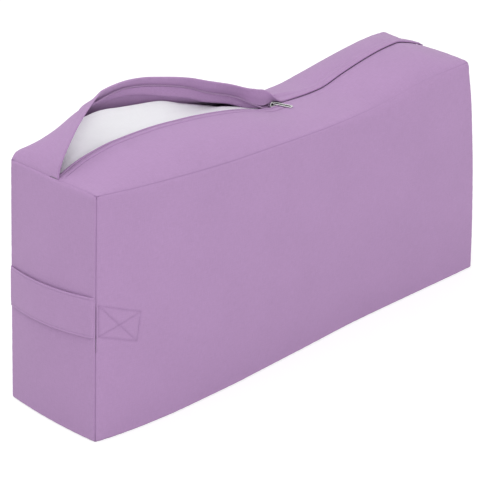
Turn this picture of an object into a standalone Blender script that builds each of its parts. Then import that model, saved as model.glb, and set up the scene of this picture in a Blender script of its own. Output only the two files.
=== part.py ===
"""Rectangular yoga bolster: a zipped cover with two carrying straps over a white inner cushion.

The bolster stands on its long narrow side. +X runs along its length, its broad front faces -Y and +Z is up.
The zip along the top is half open, and the back half of the top strip is folded up out of the mouth.
Everything soft is laid out in a plain box first and then puffed out by one field, so layers stay nested.
"""

import math

import bmesh
import bpy
import numpy as np
from mathutils import Matrix, Vector

# Driving sizes, in metres
TOP_LENGTH = 0.650
BASE_LENGTH = 0.684
WIDTH = 0.152
HEIGHT = 0.305

# How far the filling pushes the panels out of their flat shape
BASE_BOW = 0.0160
MIDDLE_BULGE = 0.0090
TOP_BOW = 0.0060
END_BULGE = 0.0060
BASE_END_BULGE = 0.0040
SEAM_SAG = 0.0170
CROWN = 0.0220
LINER_LIFT = 0.0230
BACK_RISE = 0.0100

# Cloth, clearances and seams
CLEARANCE = 0.0003
COVER_THICKNESS = 0.0015
LINER_THICKNESS = 0.0010
LINER_SLACK = 0.0008
FILL_SLACK = 0.0010
SEAM_RELIEF = CLEARANCE / math.sqrt(2)

# Carrying straps
STRAP_WIDTH = 0.050
STRAP_THICKNESS = 0.0020
STRAP_HEIGHT = 0.1525
STRAP_CORNER_RISE = 0.0010
STRAP_LEAN = 0.0040
STRAP_BOW = 0.0035
STRAP_SLACK = 0.0008
STRAP_TAIL = 0.0660
STRAP_TAIL_DROP = 0.0300
STRAP_TURN = 0.0022
STRAP_TAIL_STEPS = 4
STRAP_TURN_STEPS = 4
STRAP_FLAT_STEPS = 10
STRAP_SLOT_DEPTH = 0.0075
STRAP_SLOT_CLEARANCE = 0.0020

# Zip
TAPE_WIDTH = 0.0120
TAPE_THICKNESS = 0.0006
TAPE_SLACK = 0.0008
COIL_WIDTH = 0.0022
COIL_HEIGHT = 0.0022
ZIP_END_SPACE = 0.0035
STOP_LENGTH = 0.0035
STOP_HEIGHT = 0.0030
STOP_WIDTH = 0.0024
MOUTH_SPREAD = 0.00125
FRONT_FOLD_SETBACK = 0.0052
LAP_ROOT_SETBACK = 0.0060
LAP_OVERLAP = 0.0090
LAP_THICKNESS = 0.0026
LAP_CLEARANCE = 0.0004
FLAP_RISE = 0.0500

# Slider and pull tab
SLIDER_X = 0.0280
SLIDER_LENGTH = 0.0110
SLIDER_WIDTH = 0.0088
SLIDER_PLATE = 0.0012
SLIDER_INSIDE = 0.0034
SLIDER_FLANGE = 0.0007
TAPE_SLOT = 0.0012
WEDGE_LENGTH = 0.0035
WEDGE_WIDTH = 0.0012
BRIDGE_LENGTH = 0.0074
BRIDGE_WIDTH = 0.0015
BRIDGE_THICKNESS = 0.0011
BRIDGE_INSIDE = 0.0020
TAB_LENGTH = 0.0280
TAB_WIDTH = 0.0062
TAB_BAR = 0.0014
TAB_THICKNESS = 0.0010
TAB_HOLE_CLEARANCE = 0.0005
TAB_TURN = math.radians(-70.0)
TAB_SLOPE = math.radians(2.5)

# Filling
BATTING_SIDE = 0.0140
BATTING_TOP = 0.0360
BATTING_END = 0.0160
BATTING_SLIT = 0.0010
CORE_BEVEL = 0.0040

# Shares of the half length along the bolster, each with a share of the size it shapes
SEAM_SAG_SHARES = (
    (-1.0, 0.0), (-0.79, 0.47), (-0.32, 0.94), (0.10, 1.0), (0.45, 0.72), (0.72, 0.24), (1.0, 0.0),
)
CROWN_SHARES = (
    (-1.0, 0.0), (-0.87, 0.68), (-0.73, 0.99), (-0.58, 1.07), (-0.41, 0.94), (-0.28, 0.74), (-0.13, 0.39),
    (0.01, -0.12), (0.10, -0.24), (0.26, -0.30), (0.34, -0.25), (0.48, 0.25), (0.62, 0.70), (0.73, 0.93),
    (0.80, 0.95), (0.88, 0.66), (0.94, 0.32), (1.0, 0.0),
)
BASE_BOW_SHARES = (
    (-1.0, 0.08), (-0.93, 0.40), (-0.80, 0.78), (-0.62, 1.0), (-0.42, 1.0), (-0.20, 0.84), (0.0, 0.66),
    (0.35, 0.36), (0.70, 0.40), (0.90, 0.44), (1.0, 0.44),
)
BULGE_SHARES = (
    (-1.0, 0.0), (-0.9, 0.27), (-0.7, 0.66), (-0.4, 0.94), (0.0, 1.0), (0.4, 0.94), (0.7, 0.80), (1.0, 0.50),
)
BACK_RISE_SHARES = (
    (-1.0, 0.0), (-0.975, 0.70), (-0.95, 0.80), (-0.88, 0.65), (-0.80, 0.64), (-0.70, 0.56), (-0.58, 0.48),
    (-0.46, 0.22), (-0.30, 0.0), (0.0, -0.5), (0.20, -0.80), (0.35, -0.80), (0.49, -0.55), (0.68, -0.30),
    (0.80, 0.0), (0.875, 0.30), (0.95, 0.55), (1.0, 0.60),
)

# Shares of the way from the open end of the zip to the slider, then of the size they shape
LINER_LIFT_SHARES = (
    (0.0, 0.0), (0.046, 0.085), (0.138, 1.02), (0.276, 1.15), (0.387, 0.97), (0.552, 0.795), (0.663, 0.47),
    (0.792, 0.13), (0.86, 0.0), (1.0, 0.0),
)
LINER_LIFT_ACROSS_SHARES = (
    (-1.0, 0.0), (0.0, 0.0), (0.28, 0.45), (0.45, 1.18), (0.60, 0.40), (0.72, 0.29), (0.86, 0.05), (1.0, 0.0),
)

# The raised back half of the top strip: along the mouth, then the lap's root and its fold, each as out and up
FLAP_SHARES = (
    (0.0, 0.0, 0.0, 0.0, 0.0),
    (0.028, 0.03, 0.255, 0.025, 0.31),
    (0.074, 0.105, 0.46, 0.1, 0.565),
    (0.138, 0.28, 0.6, 0.275, 0.74),
    (0.221, 0.535, 0.715, 0.525, 0.85),
    (0.295, 0.6, 0.705, 0.73, 0.93),
    (0.396, 0.67, 0.695, 0.825, 0.925),
    (0.479, 0.65, 0.645, 0.85, 0.895),
    (0.562, 0.565, 0.565, 0.765, 0.83),
    (0.663, 0.445, 0.445, 0.615, 0.725),
    (0.737, 0.295, 0.305, 0.465, 0.615),
    (0.856, 0.14, 0.2, 0.28, 0.485),
    (0.939, 0.0, 0.05, 0.29, 0.41),
    (0.976, 0.0, 0.0, 0.33, 0.345),
    (1.022, 0.0, 0.0, 0.3, 0.26),
    (1.04, 0.0, 0.0, 0.1, 0.1),
    (1.059, 0.0, 0.0, 0.0, 0.0),
)
# How late the raised half turns out and up on its way from the back seam to the zip
FLAP_CURVE_SHARES = (
    (0.0, 1.0), (0.14, 1.12), (0.24, 1.21), (0.34, 1.46), (0.48, 1.73), (0.56, 2.03), (0.66, 2.28), (0.74, 2.66),
    (0.86, 3.0), (1.06, 3.0),
)
FLAP_LIFT_SHARES = (
    (0.0, 0.44), (0.14, 0.70), (0.24, 0.80), (0.34, 1.32), (0.48, 1.88), (0.56, 2.27), (0.66, 2.52), (0.74, 2.83),
    (0.86, 3.0), (1.06, 3.0),
)

# Shares of the way along each grid, closer together where the shape turns fast
LENGTH_STATIONS_SHARES = (
    0.0, 0.015, 0.04, 0.075, 0.12, 0.17, 0.225, 0.29, 0.355, 0.41, 0.465, 0.51, 0.575, 0.64, 0.72, 0.79, 0.86,
    0.92, 0.97, 1.0,
)
STATION_GAP_SHARE = 0.010
SLIDER_LEVEL_SHARE = 0.75
SLIDER_FADE_SHARE = 1.5
COVER_HEIGHT_SHARES = (0.0, 0.12, 0.26, 0.41, 0.56, 0.71, 0.86, 1.0)
LINER_HEIGHT_SHARES = (0.0, 0.25, 0.50, 0.75, 1.0)
HALF_TOP_SHARES = (0.0, 0.09, 0.22, 0.40, 0.62, 0.84, 1.0)
FULL_TOP_SHARES = (0.0, 0.06, 0.14, 0.23, 0.36, 0.50, 0.64, 0.77, 0.86, 0.94, 1.0)
TAPE_ROW_SHARES = (0.0, 0.30, 0.65, 1.0)
ZIP_STRAIGHT_SHARE = 0.25
END_SHARES = (0.0, 0.12, 0.28, 0.50, 0.72, 0.88, 1.0)
BASE_SHARES = (0.0, 0.5, 1.0)
FLAP_ROW_SHARES = (0.0, 0.08, 0.20, 0.38, 0.60, 0.84)

# Colours
LILAC = (0.447, 0.275, 0.491)
LILAC_TAPE = (0.40, 0.245, 0.44)
WHITE_COTTON = (0.82, 0.82, 0.86)
BATTING_WHITE = (0.86, 0.86, 0.84)
FOAM_CREAM = (0.80, 0.74, 0.56)
NICKEL = (0.72, 0.72, 0.74)

HALF_WIDTH = WIDTH / 2
FULL_TOP_X = TOP_LENGTH / 2
LINER_SIDE_DEPTH = COVER_THICKNESS + STRAP_THICKNESS + 2 * STRAP_SLACK
LINER_END_DEPTH = COVER_THICKNESS + LINER_SLACK
LINER_BASE_DEPTH = COVER_THICKNESS + CLEARANCE
TAPE_TOP_DEPTH = COVER_THICKNESS + TAPE_SLACK
ZIP_DEPTH = TAPE_TOP_DEPTH + TAPE_THICKNESS / 2
LINER_TOP_DEPTH = ZIP_DEPTH + SLIDER_INSIDE / 2 + SLIDER_PLATE + LINER_SLACK
FILL_SIDE_DEPTH = LINER_SIDE_DEPTH + LINER_THICKNESS + FILL_SLACK
FILL_END_DEPTH = LINER_END_DEPTH + LINER_THICKNESS + FILL_SLACK
FILL_BASE_DEPTH = LINER_BASE_DEPTH + LINER_THICKNESS + FILL_SLACK
FILL_TOP_DEPTH = LINER_TOP_DEPTH + LINER_THICKNESS + FILL_SLACK
CORE_HALF_WIDTH = HALF_WIDTH - FILL_SIDE_DEPTH - BATTING_SIDE
CORE_BOTTOM = FILL_BASE_DEPTH + BATTING_SIDE
CORE_TOP = HEIGHT - FILL_TOP_DEPTH - BATTING_TOP
CORE_HALF_LENGTH = min(TOP_LENGTH, BASE_LENGTH) / 2 - FILL_END_DEPTH - BATTING_END
SLIDER_SHARE = SLIDER_X / FULL_TOP_X


def clear_scene():
    for old in list(bpy.data.objects):
        bpy.data.objects.remove(old, do_unlink=True)


def make_material(name, colour, roughness, metallic=0.0):
    material = bpy.data.materials.new(name)
    material.use_nodes = True
    shader = material.node_tree.nodes["Principled BSDF"]
    shader.inputs["Base Color"].default_value = (*colour, 1.0)
    shader.inputs["Roughness"].default_value = roughness
    shader.inputs["Metallic"].default_value = metallic
    material.diffuse_color = (*colour, 1.0)
    return material


def through(points, place):
    """The value at a place of a smooth curve through (place, value) points, flat at its own peaks."""
    xs = [point[0] for point in points]
    ys = [point[1] for point in points]
    place = min(max(place, xs[0]), xs[-1])
    k = min(max(int(np.searchsorted(xs, place, side="right")) - 1, 0), len(xs) - 2)

    def steepness(i):
        return (ys[i + 1] - ys[i]) / (xs[i + 1] - xs[i])

    def tangent(i):
        if i == 0:
            return steepness(0)
        if i == len(xs) - 1:
            return steepness(i - 1)
        before, after = steepness(i - 1), steepness(i)
        if before * after <= 0:
            return 0.0
        return 2 * before * after / (before + after)

    span = xs[k + 1] - xs[k]
    t = (place - xs[k]) / span
    start, end = tangent(k) * span, tangent(k + 1) * span
    return (
        ys[k] * (2 * t**3 - 3 * t**2 + 1)
        + start * (t**3 - 2 * t**2 + t)
        + ys[k + 1] * (3 * t**2 - 2 * t**3)
        + end * (t**3 - t**2)
    )


def share(value):
    return min(max(value, -1.0), 1.0)


def half_length(z):
    """Half the box's length at a height: it spreads a little towards the base."""
    up = min(max(z / HEIGHT, 0.0), 1.0)
    return (BASE_LENGTH + (TOP_LENGTH - BASE_LENGTH) * up) / 2


def mix(low, high, part):
    return low + (high - low) * part


def length_stations():
    """The stations along the bolster, with one just clear of each end of the slider."""
    marks = [(SLIDER_X + side * SLIDER_LENGTH * SLIDER_LEVEL_SHARE) / TOP_LENGTH + 1 / 2 for side in (-1, 1)]
    kept = [
        station
        for station in LENGTH_STATIONS_SHARES
        if not marks[0] - STATION_GAP_SHARE < station < marks[1] + STATION_GAP_SHARE
    ]
    return sorted(kept + marks)


STATIONS = length_stations()


def station_x(u, z, inset):
    """The place along x of a station at a height, cut off short of the box's ends."""
    reach = half_length(z) - inset
    return min(max(mix(-1, 1, u) * half_length(z), -reach), reach)


def stations_between(low_x, high_x):
    """The same stations as places along x, cut off at two ends."""
    places = [mix(-FULL_TOP_X, FULL_TOP_X, station) for station in STATIONS]
    gap = STATION_GAP_SHARE * TOP_LENGTH / 4
    return [low_x] + [x for x in places if low_x + gap < x < high_x - gap] + [high_x]


def stationed(profile, along):
    """A profile along the bolster, straight between the stations, so that every layer has the same facets."""
    place = (along + 1) / 2
    k = min(max(int(np.searchsorted(STATIONS, place, side="right")) - 1, 0), len(STATIONS) - 2)
    low, high = STATIONS[k], STATIONS[k + 1]
    return mix(profile(2 * low - 1), profile(2 * high - 1), (place - low) / (high - low))


def beside_slider(along):
    """1 where the zip runs level through the slider, fading to 0 on both sides."""
    away = abs(along * FULL_TOP_X - SLIDER_X) / SLIDER_LENGTH
    return min(max((SLIDER_LEVEL_SHARE + SLIDER_FADE_SHARE - away) / SLIDER_FADE_SHARE, 0.0), 1.0)


def mouth_place(along):
    """How far along the open mouth: 0 at the left end, 1 at the slider."""
    return (along + 1) / (SLIDER_SHARE + 1)


def profiles(along):
    """The base's bow, top's bow, bulge, sag, crown, lift and back's rise at a share of the half length."""
    level = through(CROWN_SHARES, SLIDER_SHARE)
    return np.array((
        BASE_BOW * through(BASE_BOW_SHARES, along),
        TOP_BOW * (1 - abs(along) ** 3),
        MIDDLE_BULGE * through(BULGE_SHARES, along),
        SEAM_SAG * through(SEAM_SAG_SHARES, along),
        CROWN * mix(through(CROWN_SHARES, along), level, beside_slider(along)),
        LINER_LIFT * through(LINER_LIFT_SHARES, mouth_place(along)),
        BACK_RISE * through(BACK_RISE_SHARES, along),
    ))


def puffed(x, y, z, lifted=False):
    """Where the filling pushes a point of the plain box."""
    along = share(x / half_length(z))
    across = share(y / HALF_WIDTH)
    up = min(max(z / HEIGHT, 0.0), 1.0)
    middle = 4 * up * (1 - up)
    base_bow, top_bow, bulge, sag, crown, lift, back = stationed(profiles, along)
    out = base_bow * (1 - up) + top_bow * up + bulge * middle
    end = (END_BULGE * middle + BASE_END_BULGE * (1 - up)) * (1 - across**2)
    rise = -sag + (crown + sag) * (1 - abs(across) ** 3) + back * max(across, 0.0) ** 2
    if lifted:
        rise += lift * through(LINER_LIFT_ACROSS_SHARES, across)
    across *= min((across / ZIP_STRAIGHT_SHARE) ** 2, 1.0)
    return Vector((x + along * end, y + across * out, z + up**2 * rise))


def add_object(name, bm, material, smooth=False):
    mesh = bpy.data.meshes.new(name)
    bm.to_mesh(mesh)
    bm.free()
    mesh.materials.append(material)
    if smooth:
        mesh.shade_smooth()
        mesh.set_sharp_from_angle(angle=math.radians(40))
    obj = bpy.data.objects.new(name, mesh)
    bpy.context.scene.collection.objects.link(obj)
    return obj


def slab(name, columns, rows, place, material):
    """A closed sheet on a grid: place(u, v, layer) puts each corner, with layer 0 outside and 1 inside."""
    bm = bmesh.new()
    bmesh.ops.create_grid(bm, x_segments=len(columns) - 1, y_segments=len(rows) - 1, size=0.5)
    raised = bmesh.ops.extrude_face_region(bm, geom=bm.faces[:], use_keep_orig=True)
    inner = {corner for corner in raised["geom"] if isinstance(corner, bmesh.types.BMVert)}
    places = {}
    for corner in bm.verts:
        column = round((corner.co.x + 0.5) * (len(columns) - 1))
        row = round((corner.co.y + 0.5) * (len(rows) - 1))
        places[corner] = place(columns[column], rows[row], 1 if corner in inner else 0)
    for corner, spot in places.items():
        corner.co = spot
    bm.normal_update()
    bmesh.ops.recalc_face_normals(bm, faces=bm.faces[:])
    return add_object(name, bm, material, smooth=True)


def case_depths(layer, outer, thickness):
    """The depth of a case's skin below the box's sides, ends, base and top."""
    return [depth + layer * thickness for depth in outer]


def broad_panel(name, side, outer, thickness, rows, material, lifted=False):
    """A long upright panel of a case, at the front for side -1 and the back for +1."""

    def place(u, v, layer):
        sides, ends, base, top = case_depths(layer, outer, thickness)
        z = mix(base + SEAM_RELIEF, HEIGHT - top - SEAM_RELIEF, v)
        x = station_x(u, z, ends + SEAM_RELIEF)
        return puffed(x, side * (HALF_WIDTH - sides), z, lifted)

    return slab(name, STATIONS, rows, place, material)


def end_panel(name, side, outer, thickness, rows, material, slotted=False, lifted=False):
    """A short upright panel of a case. The cover's has slots in its edges where the strap goes in."""
    slot_half = STRAP_WIDTH / 2 + STRAP_SLOT_CLEARANCE + STRAP_LEAN
    slot_middle = STRAP_HEIGHT + STRAP_CORNER_RISE
    if slotted:
        low, high = (slot_middle - slot_half) / HEIGHT, (slot_middle + slot_half) / HEIGHT
        step = STRAP_SLOT_CLEARANCE / HEIGHT
        rows = [row for row in rows if not low - 2 * step < row < high + 2 * step]
        rows = sorted(rows + [low - step, low, (low + high) / 2, high, high + step])

    def place(u, v, layer):
        sides, ends, base, top = case_depths(layer, outer, thickness)
        z = mix(base + SEAM_RELIEF, HEIGHT - top - SEAM_RELIEF, v)
        reach = HALF_WIDTH - sides - SEAM_RELIEF
        in_slot = slotted and abs(v * HEIGHT - slot_middle) < slot_half + STRAP_SLOT_CLEARANCE / 2
        if in_slot and u in (0.0, 1.0):
            reach = HALF_WIDTH - STRAP_SLOT_DEPTH
        return puffed(side * (half_length(z) - ends), mix(-1, 1, u) * reach, z, lifted)

    return slab(name, END_SHARES, rows, place, material)


def base_panel(name, outer, thickness, material):
    def place(u, v, layer):
        sides, ends, base, _ = case_depths(layer, outer, thickness)
        x = station_x(u, base, ends + SEAM_RELIEF)
        y = mix(-1, 1, v) * (HALF_WIDTH - sides - SEAM_RELIEF)
        return puffed(x, y, base)

    return slab(name, STATIONS, BASE_SHARES, place, material)


def liner_top(name, outer, thickness, material):
    def place(u, v, layer):
        sides, ends, _, top = case_depths(layer, outer, thickness)
        x = station_x(u, HEIGHT - top, ends + SEAM_RELIEF)
        y = mix(-1, 1, v) * (HALF_WIDTH - sides - SEAM_RELIEF)
        return puffed(x, y, HEIGHT - top, lifted=True)

    return slab(name, STATIONS, FULL_TOP_SHARES, place, material)


def top_front_half(material):
    """The front half of the cover's top strip, from the long seam to its folded edge beside the zip."""

    def place(u, v, layer):
        depth = layer * COVER_THICKNESS
        x = station_x(u, HEIGHT - depth, depth + SEAM_RELIEF)
        outside = -(HALF_WIDTH - depth - SEAM_RELIEF)
        return puffed(x, mix(outside, -FRONT_FOLD_SETBACK, v), HEIGHT - depth)

    return slab("cover_top_front", STATIONS, HALF_TOP_SHARES, place, material)


def exact_flap_spot(along, part):
    place = mouth_place(along)
    raised = [FLAP_RISE * through([(row[0], row[k]) for row in FLAP_SHARES], place) for k in (1, 2, 3, 4)]
    if part > 1:
        crown = profiles(along)[4]
        root = np.array((LAP_ROOT_SETBACK + raised[0], HEIGHT + crown + raised[1]))
        fold = np.array((raised[2] - LAP_OVERLAP, HEIGHT + crown + raised[3]))
        return mix(root, fold, part - 1)
    closed = puffed(along * FULL_TOP_X, mix(HALF_WIDTH, LAP_ROOT_SETBACK, part), HEIGHT)
    turned = np.array((part ** through(FLAP_CURVE_SHARES, place), part ** through(FLAP_LIFT_SHARES, place)))
    return np.array((closed.y, closed.z)) + np.array(raised[:2]) * turned


def flap_spot(along, part):
    """A point (y, z) of the top's back half: part is 0 at the seam, 1 at the lap's root and 2 at its fold."""
    return stationed(lambda station: exact_flap_spot(station, part), along)


def flap_frame(along, part):
    """A point of the flap with its heading towards the zip and its outward direction."""
    step = 1 / 50
    if part <= 1:
        ahead, behind = min(part + step, 1.0), max(part - step, 0.0)
    else:
        ahead, behind = 2.0, 1.0
    heading = flap_spot(along, ahead) - flap_spot(along, behind)
    heading = heading / np.linalg.norm(heading)
    return flap_spot(along, part), heading, np.array((heading[1], -heading[0]))


def top_back_half(material):
    """The back half of the top strip with its folded lap, raised along the mouth."""
    inside, outside = LAP_CLEARANCE, LAP_CLEARANCE + LAP_THICKNESS
    rows = [(part, 0.0, -COVER_THICKNESS) for part in FLAP_ROW_SHARES]
    rows.append(((FLAP_ROW_SHARES[-1] + 1) / 2, outside / 2, -COVER_THICKNESS))
    rows.append((1.0, outside, inside))
    rows.append((3 / 2, outside, inside))
    rows.append((2.0, outside - LAP_THICKNESS / 5, inside + LAP_THICKNESS / 5))

    def place(u, v, layer):
        part, above, below = rows[v]
        depth = layer * COVER_THICKNESS
        x = station_x(u, HEIGHT - depth, depth + SEAM_RELIEF)
        if part == 0:
            return puffed(x, HALF_WIDTH - depth - SEAM_RELIEF, HEIGHT - depth)
        spot, _, out = flap_frame(x / FULL_TOP_X, part)
        y, z = spot + out * (below if layer else above)
        return Vector((x, y, z))

    return slab("cover_top_back", STATIONS, tuple(range(len(rows))), place, material)


def zip_half_length():
    return FULL_TOP_X - COVER_THICKNESS - CLEARANCE


def mouth_gap(x):
    """How far each half of the zip is moved aside by the wedge in the slider and beyond it."""
    start = SLIDER_X + SLIDER_LENGTH * SLIDER_LEVEL_SHARE
    return MOUTH_SPREAD * min(max((start - x) / (2 * SLIDER_LENGTH * SLIDER_LEVEL_SHARE), 0.0), 1.0)


def zip_spot(side, x, reach, depth):
    """A point of the front (-1) or back (+1) half of the zip.

    reach is its distance from the zip's middle, and depth how far it is below the cloth's outer face.
    """
    reach += mouth_gap(x)
    if side < 0:
        return puffed(x, -reach, HEIGHT - depth)
    along = x / FULL_TOP_X
    beyond = LAP_ROOT_SETBACK - reach
    root, heading, out = flap_frame(along, 1.0)
    if beyond >= 0:
        spot = root + heading * beyond
    else:
        seam = flap_spot(along, 0.0)
        spot, _, out = flap_frame(along, 1 + beyond / np.linalg.norm(root - seam))
    y, z = spot - out * depth
    return Vector((x, y, z))


def zip_strip(name, side, near, far, rows, top, bottom, half, material):
    """A strip of one half of the zip, between two distances from its middle and two depths."""

    def place(x, v, layer):
        return zip_spot(side, x, mix(near, far, v), bottom if layer else top)

    return slab(name, stations_between(-half, half), rows, place, material)


def zip_chain(tape, coil):
    half = zip_half_length()
    tape_near = COIL_WIDTH + 2 * CLEARANCE
    tape_far = tape_near + TAPE_WIDTH
    coil_near = CLEARANCE / 2
    coil_far = coil_near + COIL_WIDTH
    coil_half = half - ZIP_END_SPACE - STOP_LENGTH - 3 * CLEARANCE
    tape_depths = (TAPE_TOP_DEPTH, TAPE_TOP_DEPTH + TAPE_THICKNESS)
    coil_depths = (ZIP_DEPTH - COIL_HEIGHT / 2, ZIP_DEPTH + COIL_HEIGHT / 2)
    for side, name in ((-1, "front"), (1, "back")):
        zip_strip("zip_tape_" + name, side, tape_near, tape_far, TAPE_ROW_SHARES, *tape_depths, half, tape)
        zip_strip("zip_coil_" + name, side, coil_near, coil_far, (0.0, 1.0), *coil_depths, coil_half, coil)


def box_mesh(bm, low, high):
    """A box between two corners added to a bmesh."""
    made = bmesh.ops.create_cube(bm, size=1.0)
    low, high = Vector(low), Vector(high)
    bmesh.ops.scale(bm, vec=high - low, verts=made["verts"])
    bmesh.ops.translate(bm, vec=(low + high) / 2, verts=made["verts"])
    return made["verts"]


def bevelled_box(name, low, high, width, material, segments=2):
    bm = bmesh.new()
    box_mesh(bm, low, high)
    rounding = {"affect": "EDGES", "segments": segments, "profile": 0.5, "material": -1}
    bmesh.ops.bevel(bm, geom=bm.edges[:], offset=width, **rounding)
    return add_object(name, bm, material, smooth=True)


def stop(name, side, x, near, far, metal):
    """A clip round one coil, or across both, lying along the zip."""
    ahead = zip_spot(side, x + STOP_LENGTH / 2, near, ZIP_DEPTH)
    behind = zip_spot(side, x - STOP_LENGTH / 2, near, ZIP_DEPTH)
    along = (ahead - behind).normalized()
    beside = zip_spot(side, x, near + STOP_WIDTH, ZIP_DEPTH)
    across = (beside - zip_spot(side, x, near, ZIP_DEPTH)).normalized()
    up = along.cross(across).normalized()
    across = up.cross(along)
    low = (-STOP_LENGTH / 2, near, -STOP_HEIGHT / 2)
    high = (STOP_LENGTH / 2, far, STOP_HEIGHT / 2)
    clip = bevelled_box(name, low, high, STOP_WIDTH / 6, metal)
    turn = Matrix((along, across, up)).transposed().to_4x4()
    clip.matrix_world = Matrix.Translation(zip_spot(side, x, 0.0, ZIP_DEPTH)) @ turn
    return clip


def stops(metal):
    """A clip on each coil at the open end of the zip, and one across both at the closed end."""
    place = zip_half_length() - ZIP_END_SPACE - STOP_LENGTH / 2
    stop("zip_top_stop_front", -1, -place, CLEARANCE / 2, STOP_WIDTH, metal)
    stop("zip_top_stop_back", 1, -place, CLEARANCE / 2, STOP_WIDTH, metal)
    stop("zip_bottom_stop", -1, place, -STOP_WIDTH, STOP_WIDTH, metal)


def slider_centre():
    """The middle of the zip's coils at the slider."""
    return puffed(SLIDER_X, 0, HEIGHT - ZIP_DEPTH)


def union(name, boxes, material, bevel):
    """Boxes that overlap, joined into one body."""
    first = None
    for k, (low, high) in enumerate(boxes):
        bm = bmesh.new()
        box_mesh(bm, low, high)
        piece = add_object(name if k == 0 else name + "_join" + str(k), bm, material)
        if first is None:
            first = piece
            continue
        piece.hide_render = True
        piece.display_type = "WIRE"
        join = first.modifiers.new("join " + str(k), "BOOLEAN")
        join.operation = "UNION"
        join.object = piece
    soften = first.modifiers.new("soften", "BEVEL")
    soften.width = bevel
    soften.segments = 1
    soften.limit_method = "ANGLE"
    soften.angle_limit = math.radians(50)
    return first


def slider(metal):
    """Two plates with folded sides round the coils, a wedge between the coils, and a bridge on top."""
    long, wide = SLIDER_LENGTH / 2, SLIDER_WIDTH / 2
    inside = SLIDER_INSIDE / 2
    outside = inside + SLIDER_PLATE
    lap = SLIDER_PLATE / 4
    slot = TAPE_SLOT / 2
    boxes = [
        ((-long, -wide, inside), (long, wide, outside)),
        ((-long, -WEDGE_WIDTH / 2, -inside - lap), (-long + WEDGE_LENGTH, WEDGE_WIDTH / 2, inside + lap)),
        ((-long, -wide, -outside), (long, wide, -inside)),
    ]
    for side in (-1, 1):
        ys = sorted((side * (wide - SLIDER_FLANGE), side * wide))
        boxes.append(((-long, ys[0], slot), (long, ys[1], inside + lap)))
        boxes.append(((-long, ys[0], -inside - lap), (long, ys[1], -slot)))
    leg, across = BRIDGE_LENGTH / 2, BRIDGE_WIDTH / 2
    under = outside + BRIDGE_INSIDE
    for side in (-1, 1):
        xs = sorted((side * leg, side * (leg - BRIDGE_THICKNESS)))
        boxes.append(((xs[0], -across, outside - lap), (xs[1], across, under + lap)))
    boxes.append(((-leg, -across, under), (leg, across, under + BRIDGE_THICKNESS)))
    piece = union("zip_slider", boxes, metal, SLIDER_PLATE / 6)
    centre = slider_centre()
    for obj in bpy.data.objects:
        if obj.name.startswith("zip_slider"):
            obj.location = centre
    return piece


def tab_pivot():
    """The post of the bridge that the pull tab hangs on."""
    up = SLIDER_INSIDE / 2 + SLIDER_PLATE + BRIDGE_INSIDE / 2
    return slider_centre() + Vector((BRIDGE_LENGTH / 2 - BRIDGE_THICKNESS / 2, 0, up))


def pull_tab(metal):
    """A long flat loop with round ends, hung on the bridge's post and lying on the front half of the top."""
    bm = bmesh.new()
    half = TAB_WIDTH / 2
    hole_half = half - TAB_BAR
    post = BRIDGE_WIDTH / 2 + TAB_HOLE_CLEARANCE
    near_end = -(post + TAB_BAR)
    far_end = near_end + TAB_LENGTH
    round_steps = 6

    def outline(reach, low_x, high_x):
        points = []
        for k in range(round_steps + 1):
            turn = -math.pi / 2 + math.pi * k / round_steps
            points.append((high_x - reach + reach * math.cos(turn), reach * math.sin(turn)))
        for k in range(round_steps + 1):
            turn = math.pi / 2 + math.pi * k / round_steps
            points.append((low_x + reach + reach * math.cos(turn), reach * math.sin(turn)))
        return points

    outer = outline(half, near_end, far_end)
    inner = outline(hole_half, near_end + TAB_BAR, far_end - TAB_BAR)
    rims = []
    for z in (-TAB_THICKNESS / 2, TAB_THICKNESS / 2):
        rims.append([[bm.verts.new((x, y, z)) for x, y in loop] for loop in (outer, inner)])
    count = len(outer)
    for k in range(count):
        n = (k + 1) % count
        (low_out, low_in), (high_out, high_in) = rims
        bm.faces.new((high_out[k], high_out[n], high_in[n], high_in[k]))
        bm.faces.new((low_out[n], low_out[k], low_in[k], low_in[n]))
        bm.faces.new((low_out[k], low_out[n], high_out[n], high_out[k]))
        bm.faces.new((low_in[n], low_in[k], high_in[k], high_in[n]))
    bm.normal_update()
    bmesh.ops.recalc_face_normals(bm, faces=bm.faces[:])
    turn = Matrix.Rotation(TAB_TURN, 4, "Z") @ Matrix.Rotation(TAB_SLOPE, 4, "Y")
    bmesh.ops.transform(bm, matrix=turn, verts=bm.verts[:])
    tab = add_object("pull_tab", bm, metal, smooth=True)
    tab.location = tab_pivot()
    return tab


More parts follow.
